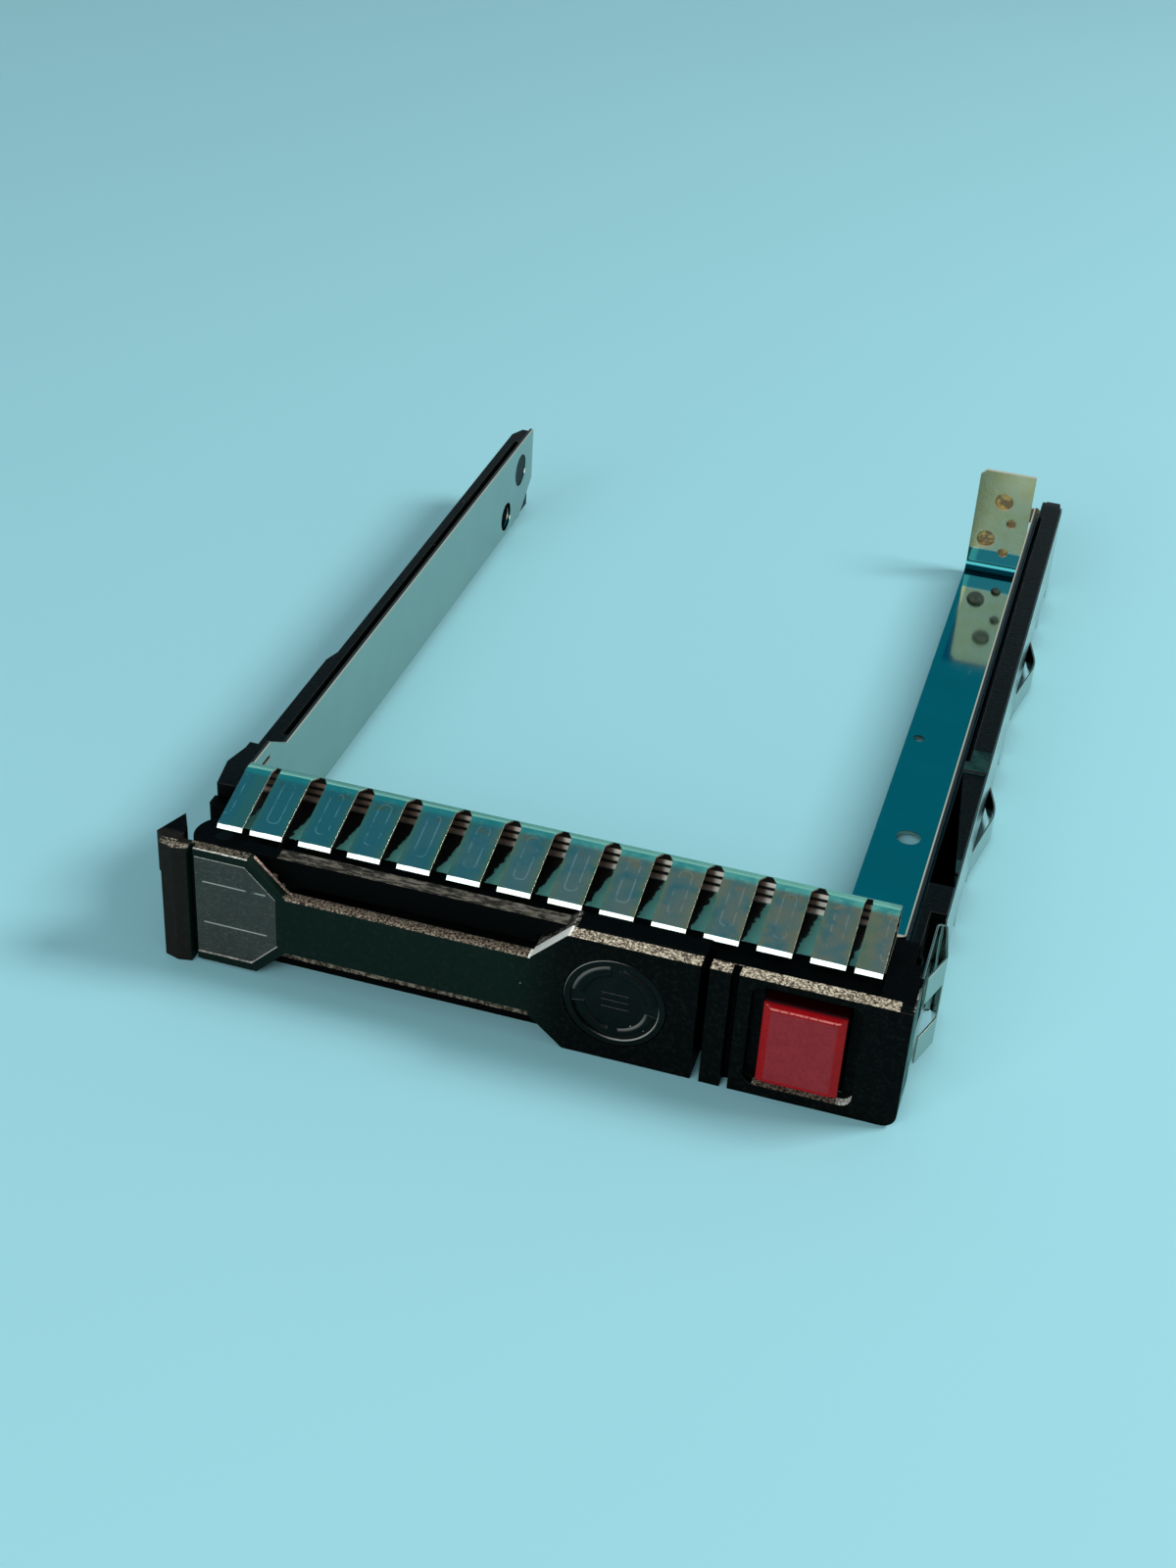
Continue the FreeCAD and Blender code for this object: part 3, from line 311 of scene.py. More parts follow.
frame_patches = [
    # the frame's upper front edge
    Patch((ring_high.x, face_y - 1, top_z - 0.2), (frame_high.x - 1.4, face_y + 1.5, top_z + 0.2),
          0.72, bone_dark, bone_pale),
    # the lip's top, and the slanted corner at its left
    Patch((gusset_x - 1.8, lip_y - 0.1, top_z - 0.2), (ring_middle.x, lip_y + 1.65, top_z + 0.2),
          0.78, streak_dark, streak_pale, grain=0.5, drawn_out=0.25),
    Patch((gusset_x - 2.5, lip_y - 0.4, bar_top_z - 0.1), (gusset_x + 3, lip_y + 0.5, top_z - 0.6),
          0.90, pink_dark, pink_pale, upward=0.3),
    # the ledge under the button, and its right end
    Patch((button_low.x + 0.5, face_y + 0.05, 0.8),
          (button_high.x - 0.6, face_y + 1.1, button_low.z - 0.4), 0.66, rust_dark, rust_pale),
    Patch((button_high.x - 0.9, face_y + 0.05, 0.8),
          (button_high.x + 0.6, face_y + 1.0, button_low.z + 0.5),
          0.80, scuff_or_highlight_dark, scuff_or_highlight_pale, upward=0.1),
    # the edge at the upper right corner
    Patch((frame_high.x - 0.12, face_y + 0.5, top_z - 0.4),
          (frame_high.x + 0.2, face_y + 4.2, top_z + 0.2),
          0.62, streak_dark, (0.42, 0.42, 0.36, 1), upward=0.1),
    # the edge that shows below the finger bar
    Patch((frame_low.x, face_y + 2.4, 0.9), (ring_middle.x - 4, face_y + 3.4, 2.2),
          0.78, rust_dark, (0.25, 0.21, 0.16, 1), grain=0.5, upward=-2),
    # the right side: a painted teal sheen, only a little paler than the rest
    Patch((frame_high.x - 0.22, face_y + 0.2, -1.0), (frame_high.x + 0.3, face_y + 6.0, top_z - 0.6),
          0.90, (0.035, 0.095, 0.095, 1), (0.09, 0.21, 0.20, 1), grain=1.5, upward=-2),
]
print(len(lever_patches) + len(frame_patches), "rubbed places")

# %% Black plastic
black_skin = (0.0008, 0.0014, 0.0012, 1)
bar_skin = (0.0040, 0.0120, 0.0090, 1)
grip_skin = (0.0110, 0.0105, 0.0085, 1)
# painted shade for the plastic deep inside the openings
recess_painted_shade = (0.0003, 0.0004, 0.0004, 1)
# painted sheen for left-facing edges; the pale of up-facing edges is part wear, part painted highlight
edge_sheen = (0.040, 0.056, 0.046, 1)
edge_bare_or_lit = (0.30, 0.27, 0.21, 1)


def patch_masks(flow, place, axes, patch):
    """How far one patch shows, rubbed skin or painted light, and the colour it leaves there."""
    speckle = noise(stretched(place, patch.drawn_out, 1.0, 1.0), patch.grain, 5.0, 0.78)
    area = rises(facing(flow, 2), patch.upward, patch.upward + 0.15)
    for value, low, high in zip(axes, patch.low, patch.high):
        area = area * within(value, low, high, patch_edge)
    bare = 0.5 + 0.55 * (0.5 - patch.cover)
    ragged = speckle + 0.6 * (area - 1)
    return (rises(ragged, bare - 0.03, bare + 0.03),
            mixed(rises(speckle, 0.46, 0.58), patch.dark, patch.pale))


def worn_and_lit_edges(flow, place, cloud, colour, wear, recess_shade):
    """The colour with a frayed pale where an edge faces up, part wear and part painted highlight, and a
    painted sheen where it faces left.
    """
    frayed = rises(noise(place, 0.5, 4.0, 0.7) + 0.25 * cloud, 0.44, 0.58)
    worn_or_lit = wear * rises(facing(flow, 2), 0.12, 0.5) * frayed * (1 - 0.8 * recess_shade)
    sheen = 0.6 * rises(-facing(flow, 0), 0.25, 0.6) * rises(cloud, 0.35, 0.6) * (1 - recess_shade)
    return mixed(worn_or_lit, mixed(sheen, colour, edge_sheen), edge_bare_or_lit), worn_or_lit


def black_plastic(flow, patches=(), edge_wear=0.0, gloss=0.0, shine=0.035, bar=None, hidden=None):
    """Grained black skin with rubbed patches and patches of painted light. edge_wear is for the rolled
    edges alone, bar is the tone of the lever's bar, and what lies deeper than hidden is painted shade,
    the blackest tone."""
    place, axes = place_in_mm(flow)
    x, y, _ = axes
    grain = noise(place, 0.42, 4.0, 0.6)
    cloud = noise(place, 5.0, 2.0)
    nowhere = grain * 0
    skin, recess_shade = black_skin, nowhere
    if bar:
        skin = mixed(rises(x, pad_left_x - 3, pad_left_x + 5), bar, black_skin)
        skin = mixed(rises(x, grip_x - 0.2, grip_x), grip_skin, skin)
    # past hidden, the plastic fades into painted shade
    if hidden:
        recess_shade = rises(y, hidden, hidden + 0.4)
        skin = mixed(recess_shade, skin, recess_painted_shade)
    tips = mixed(nowhere + 0.989, grey(0.45), skin)
    colour = mixed(rises(grain, 0.46, 0.74) * (1 - recess_shade), skin, tips)
    gone_or_lit = dust_specks(place, 3.1, 0.10) * (1 - recess_shade)
    colour = mixed(gone_or_lit, colour, grey(0.30))
    if edge_wear:
        colour, worn_or_lit = worn_and_lit_edges(flow, place, cloud, colour, edge_wear, recess_shade)
        gone_or_lit = either(gone_or_lit, worn_or_lit)
    for patch in patches:
        mask, bare = patch_masks(flow, place, axes, patch)
        colour = mixed(mask, colour, bare)
        gone_or_lit = either(gone_or_lit, mask)
    relief = grain * 0.7 + noise(place, 0.16, 2.0) * 0.3 - gone_or_lit * 0.3
    return {"Base Color": colour,
            "Roughness": 0.42 - gloss + 0.14 * grain + 0.26 * gone_or_lit,
            "Normal": bump(relief, 0.8, 0.09),
            "Specular IOR Level": shine}


rail_low, rail_high = box_in_mm("right_rail")
# painted teal sheen, in two bands across the top of the right rail
sheen_dark, sheen_pale = (0.004, 0.022, 0.021, 1), (0.010, 0.045, 0.042, 1)
sheen_starts = (11.5, 33.0)
sheen_long = 4.5
rail_sheen_patches = [Patch((rail_low.x - 0.2, rail_low.y + start, rail_high.z - 2.5),
                      (rail_high.x + 0.2, rail_low.y + start + sheen_long, rail_high.z + 0.4),
                      1.0, sheen_dark, sheen_pale, grain=2.0) for start in sheen_starts]
# hidden: how far back the painted shade inside the openings starts
lever_choices = {"patches": lever_patches, "bar": bar_skin, "hidden": face_y + 1.7}
frame_choices = {"patches": frame_patches, "hidden": face_y + 1.15}
lever_black = material("lever black", black_plastic, **lever_choices)
lever_edge = material("lever worn edge", black_plastic, edge_wear=0.9, **lever_choices)
frame_black = material("frame black", black_plastic, **frame_choices)
frame_edge = material("frame worn edge", black_plastic, edge_wear=0.6, **frame_choices)
rail_black = material("rail black", black_plastic, patches=rail_sheen_patches, gloss=0.12, shine=0.07)
rail_edge = material("rail edge", black_plastic, edge_wear=0.05, gloss=0.12, shine=0.12)
print("black plastics made")

# %% [markdown]
# ## Stainless sheet and spring strip
#
# Both are bright rolled steel: almost mirrors, drawn out a little in the rolling direction. A plain
# grey metal looks like paint, so the colour and roughness carry long faint streaks and fine scratches.
# The cut edges are paler and rougher than the faces. The tab at the rear kept a straw tint from heat.
# The fingers carry outlines of dried fluid, rub marks near the fold and a fold that rolls backwards.
# What the leaf behind their slots would mirror, a ladder of bright and dark bars, is painted on it.
# Other reflections are painted too: teal along the fingers' fold, dark teal on the tab's bend and blue
# on the flange where it would mirror the tab. The rims of the tab's holes carry a painted highlight,
# and the wall tops painted shade inside the pale line of their cut.

# %% Steel
steel_tone = (0.36, 0.43, 0.39, 1)
straw_tone = (0.30, 0.29, 0.16, 1)
# painted dark teal reflection on the tab's bend
bend_reflection_tone = (0.020, 0.130, 0.140, 1)
smoke_tone = (0.44, 0.30, 0.18, 1)
cut_tone = (0.60, 0.57, 0.44, 1)
# painted reflection of the tab, as one blue tone on the flange
tab_reflection_blue = (0.11, 0.21, 0.25, 1)
# painted highlight for the rims of the tab's holes
hole_rim_highlight = (0.90, 0.84, 0.62, 1)
_, sheet_high = box_in_mm("carrier_sheet")
strip_low, strip_high = box_in_mm("top_finger_strip")
tab_height = 4.0
wall_top_z = 12.3


def rolled(place, tone, dull):
    """What every rolled face has: colour, roughness and relief."""
    streaks = noise(stretched(place, 1.0, 0.03, 1.0), 0.30, 3.0)
    cloud = noise(place, 6.0, 3.0)
    scratch = rises(noise(stretched(place, 2.4, 0.10, 2.4), 0.8, 5.0, 0.7, 1.2), 0.64, 0.70)
    colour = mixed(cloud, shade(tone, 1.06), shade(tone, 0.86))
    rough = dull + 0.03 * streaks + 0.05 * cloud + 0.10 * scratch
    return colour, rough, streaks * 0.4 + cloud * 1.0 + scratch * 0.6


def sheet_face(flow):
    """The folded sheet: bright faces, pale cut edges with painted shade across the wall tops, a
    straw-tinted tab with a painted dark reflection on its bend and painted highlights on its hole rims,
    and a painted blue reflection of that tab on the flange."""
    place, (x, y, z) = place_in_mm(flow)
    colour, rough, relief = rolled(place, steel_tone, 0.035)
    rear = rises(y, sheet_high.y - 3.4, sheet_high.y - 2.6)
    forward = -facing(flow, 1)
    tab = rear * rises(z, tab_height - 0.2, tab_height + 0.2) * rises(forward, 0.5, 0.9)
    stain = rises(noise(place, 2.6, 4.0, 0.6), 0.40, 0.66)
    # the flange below the tab: a painted blue reflection of the tab
    tab_reflection_area = rises(y, sheet_high.y - 28.5, sheet_high.y - 26) * rises(x, 27.9, 28.4)
    tab_reflection_area = tab_reflection_area * (1 - rises(z, 1.0, 1.4))
    colour = mixed(tab_reflection_area, colour, tab_reflection_blue)
    # the tab's bend: a painted dark teal reflection
    colour = mixed(rear * (1 - tab) * rises(forward, -0.1, 0.2), colour, bend_reflection_tone)
    colour = mixed(tab * (0.75 + 0.25 * stain), colour, straw_tone)
    # the rims of the tab's holes: a painted pale highlight, less metallic
    lit_hole_rims = rear * rises(z, 3.0, 3.4) * (1 - rises(abs(forward), 0.4, 0.6))
    colour = mixed(lit_hole_rims, colour, hole_rim_highlight)
    # the wall tops: a pale cut line at the outer edge and painted shade across the rest
    cut = rises(facing(flow, 2), 0.7, 0.9) * rises(z, wall_top_z - 0.5, wall_top_z - 0.2)
    outer = rises(abs(x), sheet_high.x - 0.42, sheet_high.x - 0.28)
    return {"Base Color": mixed(cut, colour, mixed(outer, cut_tone, grey(0.015))),
            "Metallic": 1 - 0.7 * either(cut, lit_hole_rims),
            "Roughness": rough + 0.20 * tab + 0.3 * cut,
            "Normal": bump(relief, 0.06, 0.02)}


def cut_edge(flow):
    """The rolled rim of a sheet, where the cut left it pale and rough."""
    place, _ = place_in_mm(flow)
    nicks = noise(place, 0.7, 4.0, 0.65)
    return {"Base Color": mixed(nicks, shade(cut_tone, 0.55), cut_tone),
            "Metallic": 0.5,
            "Roughness": 0.28 + 0.2 * nicks,
            "Normal": bump(nicks, 0.2, 0.03)}


# %% Sprung fingers
finger_wide = 3.508
slot_wide = 1.8
end_finger = 3.6
ridge_mm = strip_high.y - 1.4
knee_mm = strip_low.y + 0.35
bar_pitch = 0.93
bar_start = 0.156
stain_half_wide, stain_middle, stain_half_long = 0.15, 3.9, 2.1
green_stain = (0.40, 0.40, 0.20, 1)
dry_fluid = (0.85, 0.86, 0.80, 1)
tired_tone = (0.26, 0.22, 0.14, 1)
# painted teal reflection along the fingers' fold
fold_reflection_tone = (0.20, 0.62, 0.50, 1)
bar_brown, bar_dusk = (0.30, 0.20, 0.15, 1), (0.12, 0.07, 0.05, 1)
bar_white, bar_gap = (1.0, 0.96, 0.86, 1), (0.004, 0.004, 0.003, 1)
leaf_teal, leaf_shadow = (0.16, 0.52, 0.46, 1), (0.004, 0.005, 0.004, 1)


def finger_axes(x, y):
    """How far a point lies across its own finger and slot, and how far behind the fingers' knee."""
    pitch = finger_wide + slot_wide
    across = (x - (strip_low.x + end_finger)) / pitch
    return across.sum("FRACT", across) * pitch, y - knee_mm


def fluid_outline(across, along):
    """1 on the outline of a long round-cornered patch in the middle of each finger."""
    side = abs(across - finger_wide / 2) - stain_half_wide
    end = abs(along - stain_middle) - stain_half_long
    corner = side.node("ShaderNodeCombineXYZ", None, {0: either(side, side * 0), 1: either(end, end * 0)})
    corner = corner.node("ShaderNodeVectorMath", {"operation": "LENGTH"}, {0: corner}, "Value")
    return 1 - rises(abs(corner - 0.5), 0.05, 0.10)


def behind_slots(x, z, across, along, blotch):
    """The rear leaf as a ladder of mirrored bars, and the floor leaf with a finger's shadow on it."""
    ladder = (strip_high.z - z) / bar_pitch + bar_start
    ladder = within(ladder.sum("FRACT", ladder), 0.24, 0.76, 0.06)
    ladder = ladder * (1 - rises(z, strip_high.z - 0.9, strip_high.z - 0.7))
    lit = rises(across, finger_wide + 0.4, finger_wide + 1.0) * rises(x, -28.0, 8.0)
    bars = mixed(lit, mixed(blotch, bar_brown, bar_dusk), bar_white)
    shadow = 1 - rises(across - 0.15 * along + 1.3 * blotch, finger_wide + 0.25, finger_wide + 0.45)
    return mixed(ladder, bar_gap, bars), mixed(shadow, leaf_teal, leaf_shadow)


def finger_face(flow):
    """The sprung fingers, their fold with a painted teal reflection, and the leaf that shows through
    their slots.
    """
    place, (x, y, z) = place_in_mm(flow)
    colour, rough, relief = rolled(place, steel_tone, 0.07)
    across, along = finger_axes(x, y)
    blotch = noise(place, 1.3, 4.0, 0.62)
    upward = rises(facing(flow, 2), 0.6, 0.8)
    top = upward * rises(z, strip_high.z - 2.9, strip_high.z - 2.6)
    mark = top * fluid_outline(across, along) * rises(blotch, 0.42, 0.54) * 0.45
    rub = top * within(along, 5.9, 7.0, 0.4) * within(across, 0.9, 2.6, 0.5) * rises(blotch, 0.46, 0.60)
    tired = top * rises(x, -26.0, strip_high.x - 4) * rises(noise(place, 2.6, 4.0, 0.6), 0.20, 0.66)
    greened = top * rises(abs(across - finger_wide / 2) + 0.9 * blotch, 1.3, 2.4)
    greened = greened * (0.35 + 0.45 * rises(x, -34.0, -8.0))
    colour = mixed(mark, mixed(greened, colour, green_stain), dry_fluid)
    colour = mixed(0.85 * tired, mixed(0.8 * rub, colour, smoke_tone), tired_tone)
    cut = rises(facing(flow, 0), 0.75, 0.9)
    # along the fold, a painted teal reflection
    fold = rises(y, ridge_mm - 1.0, ridge_mm - 0.3) * top
    colour = mixed(fold, mixed(cut, colour, cut_tone), fold_reflection_tone)
    rear_leaf = rises(-facing(flow, 1), 0.5, 0.8) * rises(y, ridge_mm - 0.6, ridge_mm - 0.3)
    floor_leaf = upward * (1 - rises(z, strip_high.z - 3.2, strip_high.z - 2.9))
    rear_look, floor_look = behind_slots(x, z, across, along, blotch)
    colour = mixed(rear_leaf, mixed(floor_leaf, colour, floor_look), rear_look)
    matt = either(rear_leaf, floor_leaf)
    soft = 0.04 * top + 0.34 * tired + 0.5 * cut + 0.05 * greened + 0.10 * mark
    rough = rough + 0.16 * rub + 0.10 * tired + 0.10 * fold + 0.25 * either(cut, matt) + 0.12 * mark
    rolls = either(y - (ridge_mm - 0.8), y * 0)
    return {"Base Color": colour,
            "Metallic": 1 - either(matt, soft),
            "Roughness": rough,
            "Normal": bump(relief * 0.0024 - rolls * rolls * 0.10 * top, 1.0, 1.0)}


sheet_steel = material("rolled stainless", sheet_face)
sheet_rim = material("sheet rim", cut_edge)
finger_steel = material("finger strip", finger_face)


def spring_face(flow, tone=steel_tone, dull=0.10):
    """Plain spring strip and small plated parts."""
    place, _ = place_in_mm(flow)
    colour, rough, relief = rolled(place, tone, dull)
    return {"Base Color": colour,
            "Metallic": 1.0,
            "Roughness": rough,
            "Normal": bump(relief, 0.12, 0.02)}


spring_steel = material("spring strip", spring_face)
small_steel = material("plated steel", spring_face, tone=(0.42, 0.43, 0.42, 1), dull=0.18)
dark_steel = material("blackened steel", spring_face, tone=(0.010, 0.012, 0.012, 1), dull=0.45)
print("steels made")

# %% [markdown]
# ## Release button, label and lens
#
# The button is dyed red right through. Its face is matt from the tool and from thumbs, its rim is
# polished, so roughness and colour both change with the distance from the middle of the face. A
# highlight along the top of its rim and at one corner is painted, and so is the shade behind its
# front. The label is a dark fibrous card, left bare but for two fine rules, with a painted highlight
# on its up-facing edges. The lens is smooth and almost black, with a painted highlight on the rims
# that face up and left.

# %% Coloured plastics
button_rim = 0.85
button_lap = 0.8       # how much wider the button's hidden flange is than its face, on each side
# painted highlight colour for the button's upper left corner
corner_glint_tone = (0.95, 0.80, 0.74, 1)
rule_heights = (5.31, 10.41)
rule_half = 0.05


def crimson(flow):
    """Red plastic, a matt rosy face inside a glossy deeper rim, with painted highlights along the rim's
    top and at its upper left corner and painted shade behind its front.
    """
    middle = (button_low + button_high) / 2
    half_x = (button_high.x - button_low.x) / 2 - button_lap
    half_z = (button_high.z - button_low.z) / 2
    place, (x, y, z) = place_in_mm(flow)
    sideways, upwards = abs(x - middle.x), abs(z - middle.z)
    inside = 1 - rises(sideways, half_x - button_rim - 0.1, half_x - button_rim + 0.1)
    inside = inside * (1 - rises(upwards, half_z - button_rim - 0.1, half_z - button_rim + 0.1))
    inside = inside * rises(-facing(flow, 1), 0.7, 0.9)
    grain = noise(place, 0.32, 4.0, 0.65)
    cloud = noise(place, 2.2, 3.0)
    face = mixed(grain * 0.7 + cloud * 0.3, (0.130, 0.004, 0.008, 1), (0.400, 0.035, 0.045, 1))
    rim = mixed(cloud, (0.26, 0.0006, 0.0020, 1), (0.40, 0.0012, 0.004, 1))
    # a painted highlight along the top inner border of the rim
    line = within(z, middle.z + half_z - 0.62, middle.z + half_z - 0.50, 0.06) * rises(grain, 0.35, 0.5)
    line = line * (1 - rises(sideways, half_x - 0.7, half_x - 0.5))
    # a painted highlight at the upper left corner
    corner_glint = 1 - rises(abs(x - middle.x + half_x - 0.3), 0.10, 0.22)
    corner_glint = corner_glint * rises(z, middle.z + half_z - 0.45, middle.z + half_z - 0.3)
    corner_glint = corner_glint * (1 - rises(y, button_low.y + 0.2, button_low.y + 0.35))
    red = mixed(line, mixed(inside, rim, face), (0.85, 0.20, 0.17, 1))
    # painted shade on the top and sides behind the front
    red = mixed(rises(y, button_low.y + 0.30, button_low.y + 0.75), red, (0.012, 0.0002, 0.0004, 1))
    return {"Base Color": mixed(corner_glint, red, corner_glint_tone),
            "Roughness": 0.24 + 0.30 * inside + 0.06 * grain,
            "Specular IOR Level": 0.16,
            "Normal": bump(grain, 0.40, 0.03)}


def label_card(flow):
    """Dark fibrous card with two fine rules across it."""
    place, (x, _, z) = place_in_mm(flow)
    fibre = rises(noise(stretched(place, 1.0, 1.0, 2.2), 0.40, 5.0, 0.75, 0.8), 0.50, 0.68)
    cloud = noise(place, 2.4, 3.0)
    base = mixed(cloud, (0.016, 0.019, 0.016, 1), (0.036, 0.042, 0.035, 1))
    rules = either(*[within(z, height - rule_half, height + rule_half, 0.05)
                     for height in rule_heights])
    rules = rules * within(x, label_low.x + 0.9, label_high.x - 1.1, 0.1) * rises(cloud, 0.30, 0.42)
    colour = mixed(fibre * 0.8, base, (0.085, 0.092, 0.078, 1))
    return {"Base Color": mixed(rules * 0.8, colour, (0.42, 0.42, 0.38, 1)),
            "Roughness": 0.50 + 0.2 * fibre,
            "Specular IOR Level": 0.25,
            "Normal": bump(fibre + cloud, 0.3, 0.03)}


def label_rim(flow):
    """The card's cut edge, pale in frayed patches where it faces up: a painted highlight."""
    place, _ = place_in_mm(flow)
    fray = noise(place, 0.6, 4.0, 0.7)
    # the up-facing frayed rim is a painted highlight
    lit_rim = rises(facing(flow, 2), 0.0, 0.5) * rises(fray, 0.34, 0.48)
    return {"Base Color": mixed(lit_rim, (0.05, 0.055, 0.05, 1), (0.55, 0.54, 0.48, 1)),
            "Roughness": 0.45 + 0.1 * fray,
            "Specular IOR Level": 0.3}


def tinted_lens(flow, glint=0.0):
    """Smooth, nearly black plastic with dust on it. glint is how bright a painted highlight is on the
    rims that face up and left.
    """
    place, _ = place_in_mm(flow)
    haze = noise(place, 1.2, 3.0)
    dust = either(dust_specks(place, 1.7, 0.08), 0.3 * rises(noise(place, 0.25, 3.0, 0.7), 0.70, 0.78))
    # a painted highlight on faces that turn up and to the left
    diagonal = (facing(flow, 2) - facing(flow, 0)) * 0.7
    shine = glint * rises(diagonal, 0.35, 0.70)
    base = mixed(haze, (0.0006, 0.0018, 0.0014, 1), (0.0030, 0.0060, 0.0046, 1))
    return {"Base Color": mixed(either(dust, shine), base, (0.40, 0.41, 0.38, 1)),
            "Roughness": 0.16 + 0.12 * haze + 0.3 * dust,
            "Specular IOR Level": 0.08,
            "Normal": bump(haze, 0.08, 0.05)}


def plain_tone(flow, tone, roughness, metallic=0.0, spread=0.25, size=1.5, dents=0.1):
    """A tone that varies gently, for small pieces that are half hidden."""
    place, _ = place_in_mm(flow)
    cloud = noise(place, size, 3.0)
    return {"Base Color": mixed(cloud, tone, shade(tone, 1 - spread)),
            "Roughness": roughness + 0.1 * cloud,
            "Metallic": metallic,
            "Normal": bump(cloud, dents, 0.02 * size)}


def film_layer(flow):
    """Circuit film, dark along the rail and amber where it is laid bare behind the tab."""
    place, (_, y, _) = place_in_mm(flow)
    cloud = noise(place, 0.8, 4.0)
    bare = rises(y, sheet_high.y - 4, sheet_high.y - 2)
    amber = mixed(rises(cloud, 0.45, 0.62), (0.16, 0.095, 0.020, 1), (0.52, 0.36, 0.085, 1))
    return {"Base Color": mixed(bare, (0.020, 0.012, 0.008, 1), amber),
            "Roughness": 0.30 - 0.10 * bare,
            "Normal": bump(cloud, 0.5, 0.05)}


button_red = material("button red", crimson)
label_dark = material("label card", label_card)
label_edge = material("label rim", label_rim)
lens_black = material("tinted lens", tinted_lens)
lens_edge = material("lens rim", tinted_lens, glint=1.0)
mark_edge = material("raised marks", tinted_lens, glint=0.4)
guide_clear = material("light guide", plain_tone, tone=(0.72, 0.74, 0.74, 1), roughness=0.2)
circuit_film = material("circuit film", film_layer)
pad_gold = material("gold plating", plain_tone, tone=(0.62, 0.42, 0.11, 1), roughness=0.15,
                    metallic=0.45, spread=0.7, size=0.7, dents=0.9)
board_green = material("circuit board", plain_tone, tone=(0.02, 0.11, 0.05, 1), roughness=0.35)
lamp_pale = material("lamp body", plain_tone, tone=(0.80, 0.79, 0.70, 1), roughness=0.3)
print("plastics made")


# %% [markdown]
# ## Edges that catch the light
#
# A construction model has knife edges, but nothing that was moulded or pressed does. The bright line
# along an edge is what makes a small part look real. Eleven nodes that show are copied, their loose
# triangles are welded into whole faces, and a Bevel modifier rolls their corners. The rolled strip
# can take a material of its own, which is where the worn edges go, and with them painted highlights
# and sheen.

# %% Copy a node and soften its edges
weld_mm = 0.003
flat_degrees = 0.1


def linked(name, data):
    """A new object at the origin that holds a mesh, a lamp or a camera."""
    piece = bpy.data.objects.new(name, data)
    scene.collection.objects.link(piece)
    return piece


def seat(piece, node):
    """Let a piece stand for a node: same body, and the node itself is hidden."""
    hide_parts(node)
    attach(piece, frame["nodes"][node]["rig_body"])
    return piece


def dressed(node, name, width, skin, edge=None, steps=2, angle=24.0):
    """A copy of a node with welded faces and rolled edges, which stands for it. width is in
    millimetres, and only corners sharper than angle, in degrees, are rolled."""
    mesh = frame["nodes"][node].data.copy()
    if "custom_normal" in mesh.attributes:
        mesh.attributes.remove(mesh.attributes["custom_normal"])
    work = bmesh.new()
    work.from_mesh(mesh)
    bmesh.ops.remove_doubles(work, verts=work.verts, dist=weld_mm * MM)
    bmesh.ops.dissolve_limit(work, angle_limit=math.radians(flat_degrees), verts=work.verts,
                             edges=work.edges)
    for face in work.faces:
        face.smooth = True
    work.to_mesh(mesh)
    work.free()
    mesh.materials.clear()
    mesh.materials.append(skin)
    mesh.materials.append(edge or skin)
    piece = linked(name, mesh)
    bevel = piece.modifiers.new("rolled edges", "BEVEL")
    bevel.width = width * MM
    bevel.segments = steps
    bevel.limit_method = "ANGLE"
    bevel.angle_limit = math.radians(angle)
    bevel.material = 1
    even = piece.modifiers.new("even normals", "WEIGHTED_NORMAL")
    even.mode = "FACE_AREA"
    even.weight = 100
    print(name, "dressed,", len(mesh.polygons), "faces before its bevel")
    return seat(piece, node)


dressed("carrier_sheet", "carrier_tray", 0.09, sheet_steel, sheet_rim)
dressed("bezel_frame", "front_frame", 0.14, frame_black, frame_edge)
dressed("ejector_lever", "lever_moulding", 0.16, lever_black, lever_edge)
dressed("left_rail", "left_guide_rail", 0.22, rail_black, rail_edge)
dressed("right_rail", "right_guide_rail", 0.08, rail_black, rail_edge)
dressed("top_finger_strip", "top_fingers", 0.04, finger_steel)
dressed("side_finger_strip", "side_fingers", 0.04, spring_steel, sheet_rim)
dressed("rail_spring_strip", "rail_spring", 0.04, spring_steel, sheet_rim)
dressed("release_button", "button_cap", 0.16, button_red, steps=3)
dressed("label_plate", "label", 0.09, label_dark, label_edge)
dressed("ring_lens", "ring_window", 0.10, lens_black, lens_edge, steps=3)

# %% Finish the nodes that stay as they are
kept_finishes = {
    "ring_light_guide": guide_clear, "lever_pin": dark_steel, "latch_leaf": spring_steel,
    "latch_screw": small_steel, "frame_rivets": small_steel, "lamp_board": board_green,
    "lamps": lamp_pale, "flex_circuit": circuit_film, "contact_pads": pad_gold,
}
for node, finish in kept_finishes.items():
    frame["nodes"][node].data.materials.clear()
    frame["nodes"][node].data.materials.append(finish)
print(len(kept_finishes), "nodes finished as they are")

# %% [markdown]
# ## Things that repeat or follow a path
#
# A spring is a circle carried along a spiral, and the raised marks on the lens are one arc turned
# four times and one bar set down three times. Geometry Nodes says exactly that. Each tree is run
# once through a modifier, and its result is kept as a plain mesh.

# %% Two small geometry trees
def new_tree(name, inputs):
    """A geometry tree with one geometry output and the named inputs with their values."""
    tree = bpy.data.node_groups.new(name, "GeometryNodeTree")
    tree.interface.new_socket("Geometry", in_out="OUTPUT", socket_type="NodeSocketGeometry")
    for label, value in inputs.items():
        kind = "NodeSocketFloat" if isinstance(value, float) else "NodeSocketVector"
        if isinstance(value, bpy.types.Material):
            kind = "NodeSocketMaterial"
        tree.interface.new_socket(label, in_out="INPUT", socket_type=kind).default_value = value
    flow = Flow(tree)
    return flow, {label: flow.node("NodeGroupInput", output=label) for label in inputs}


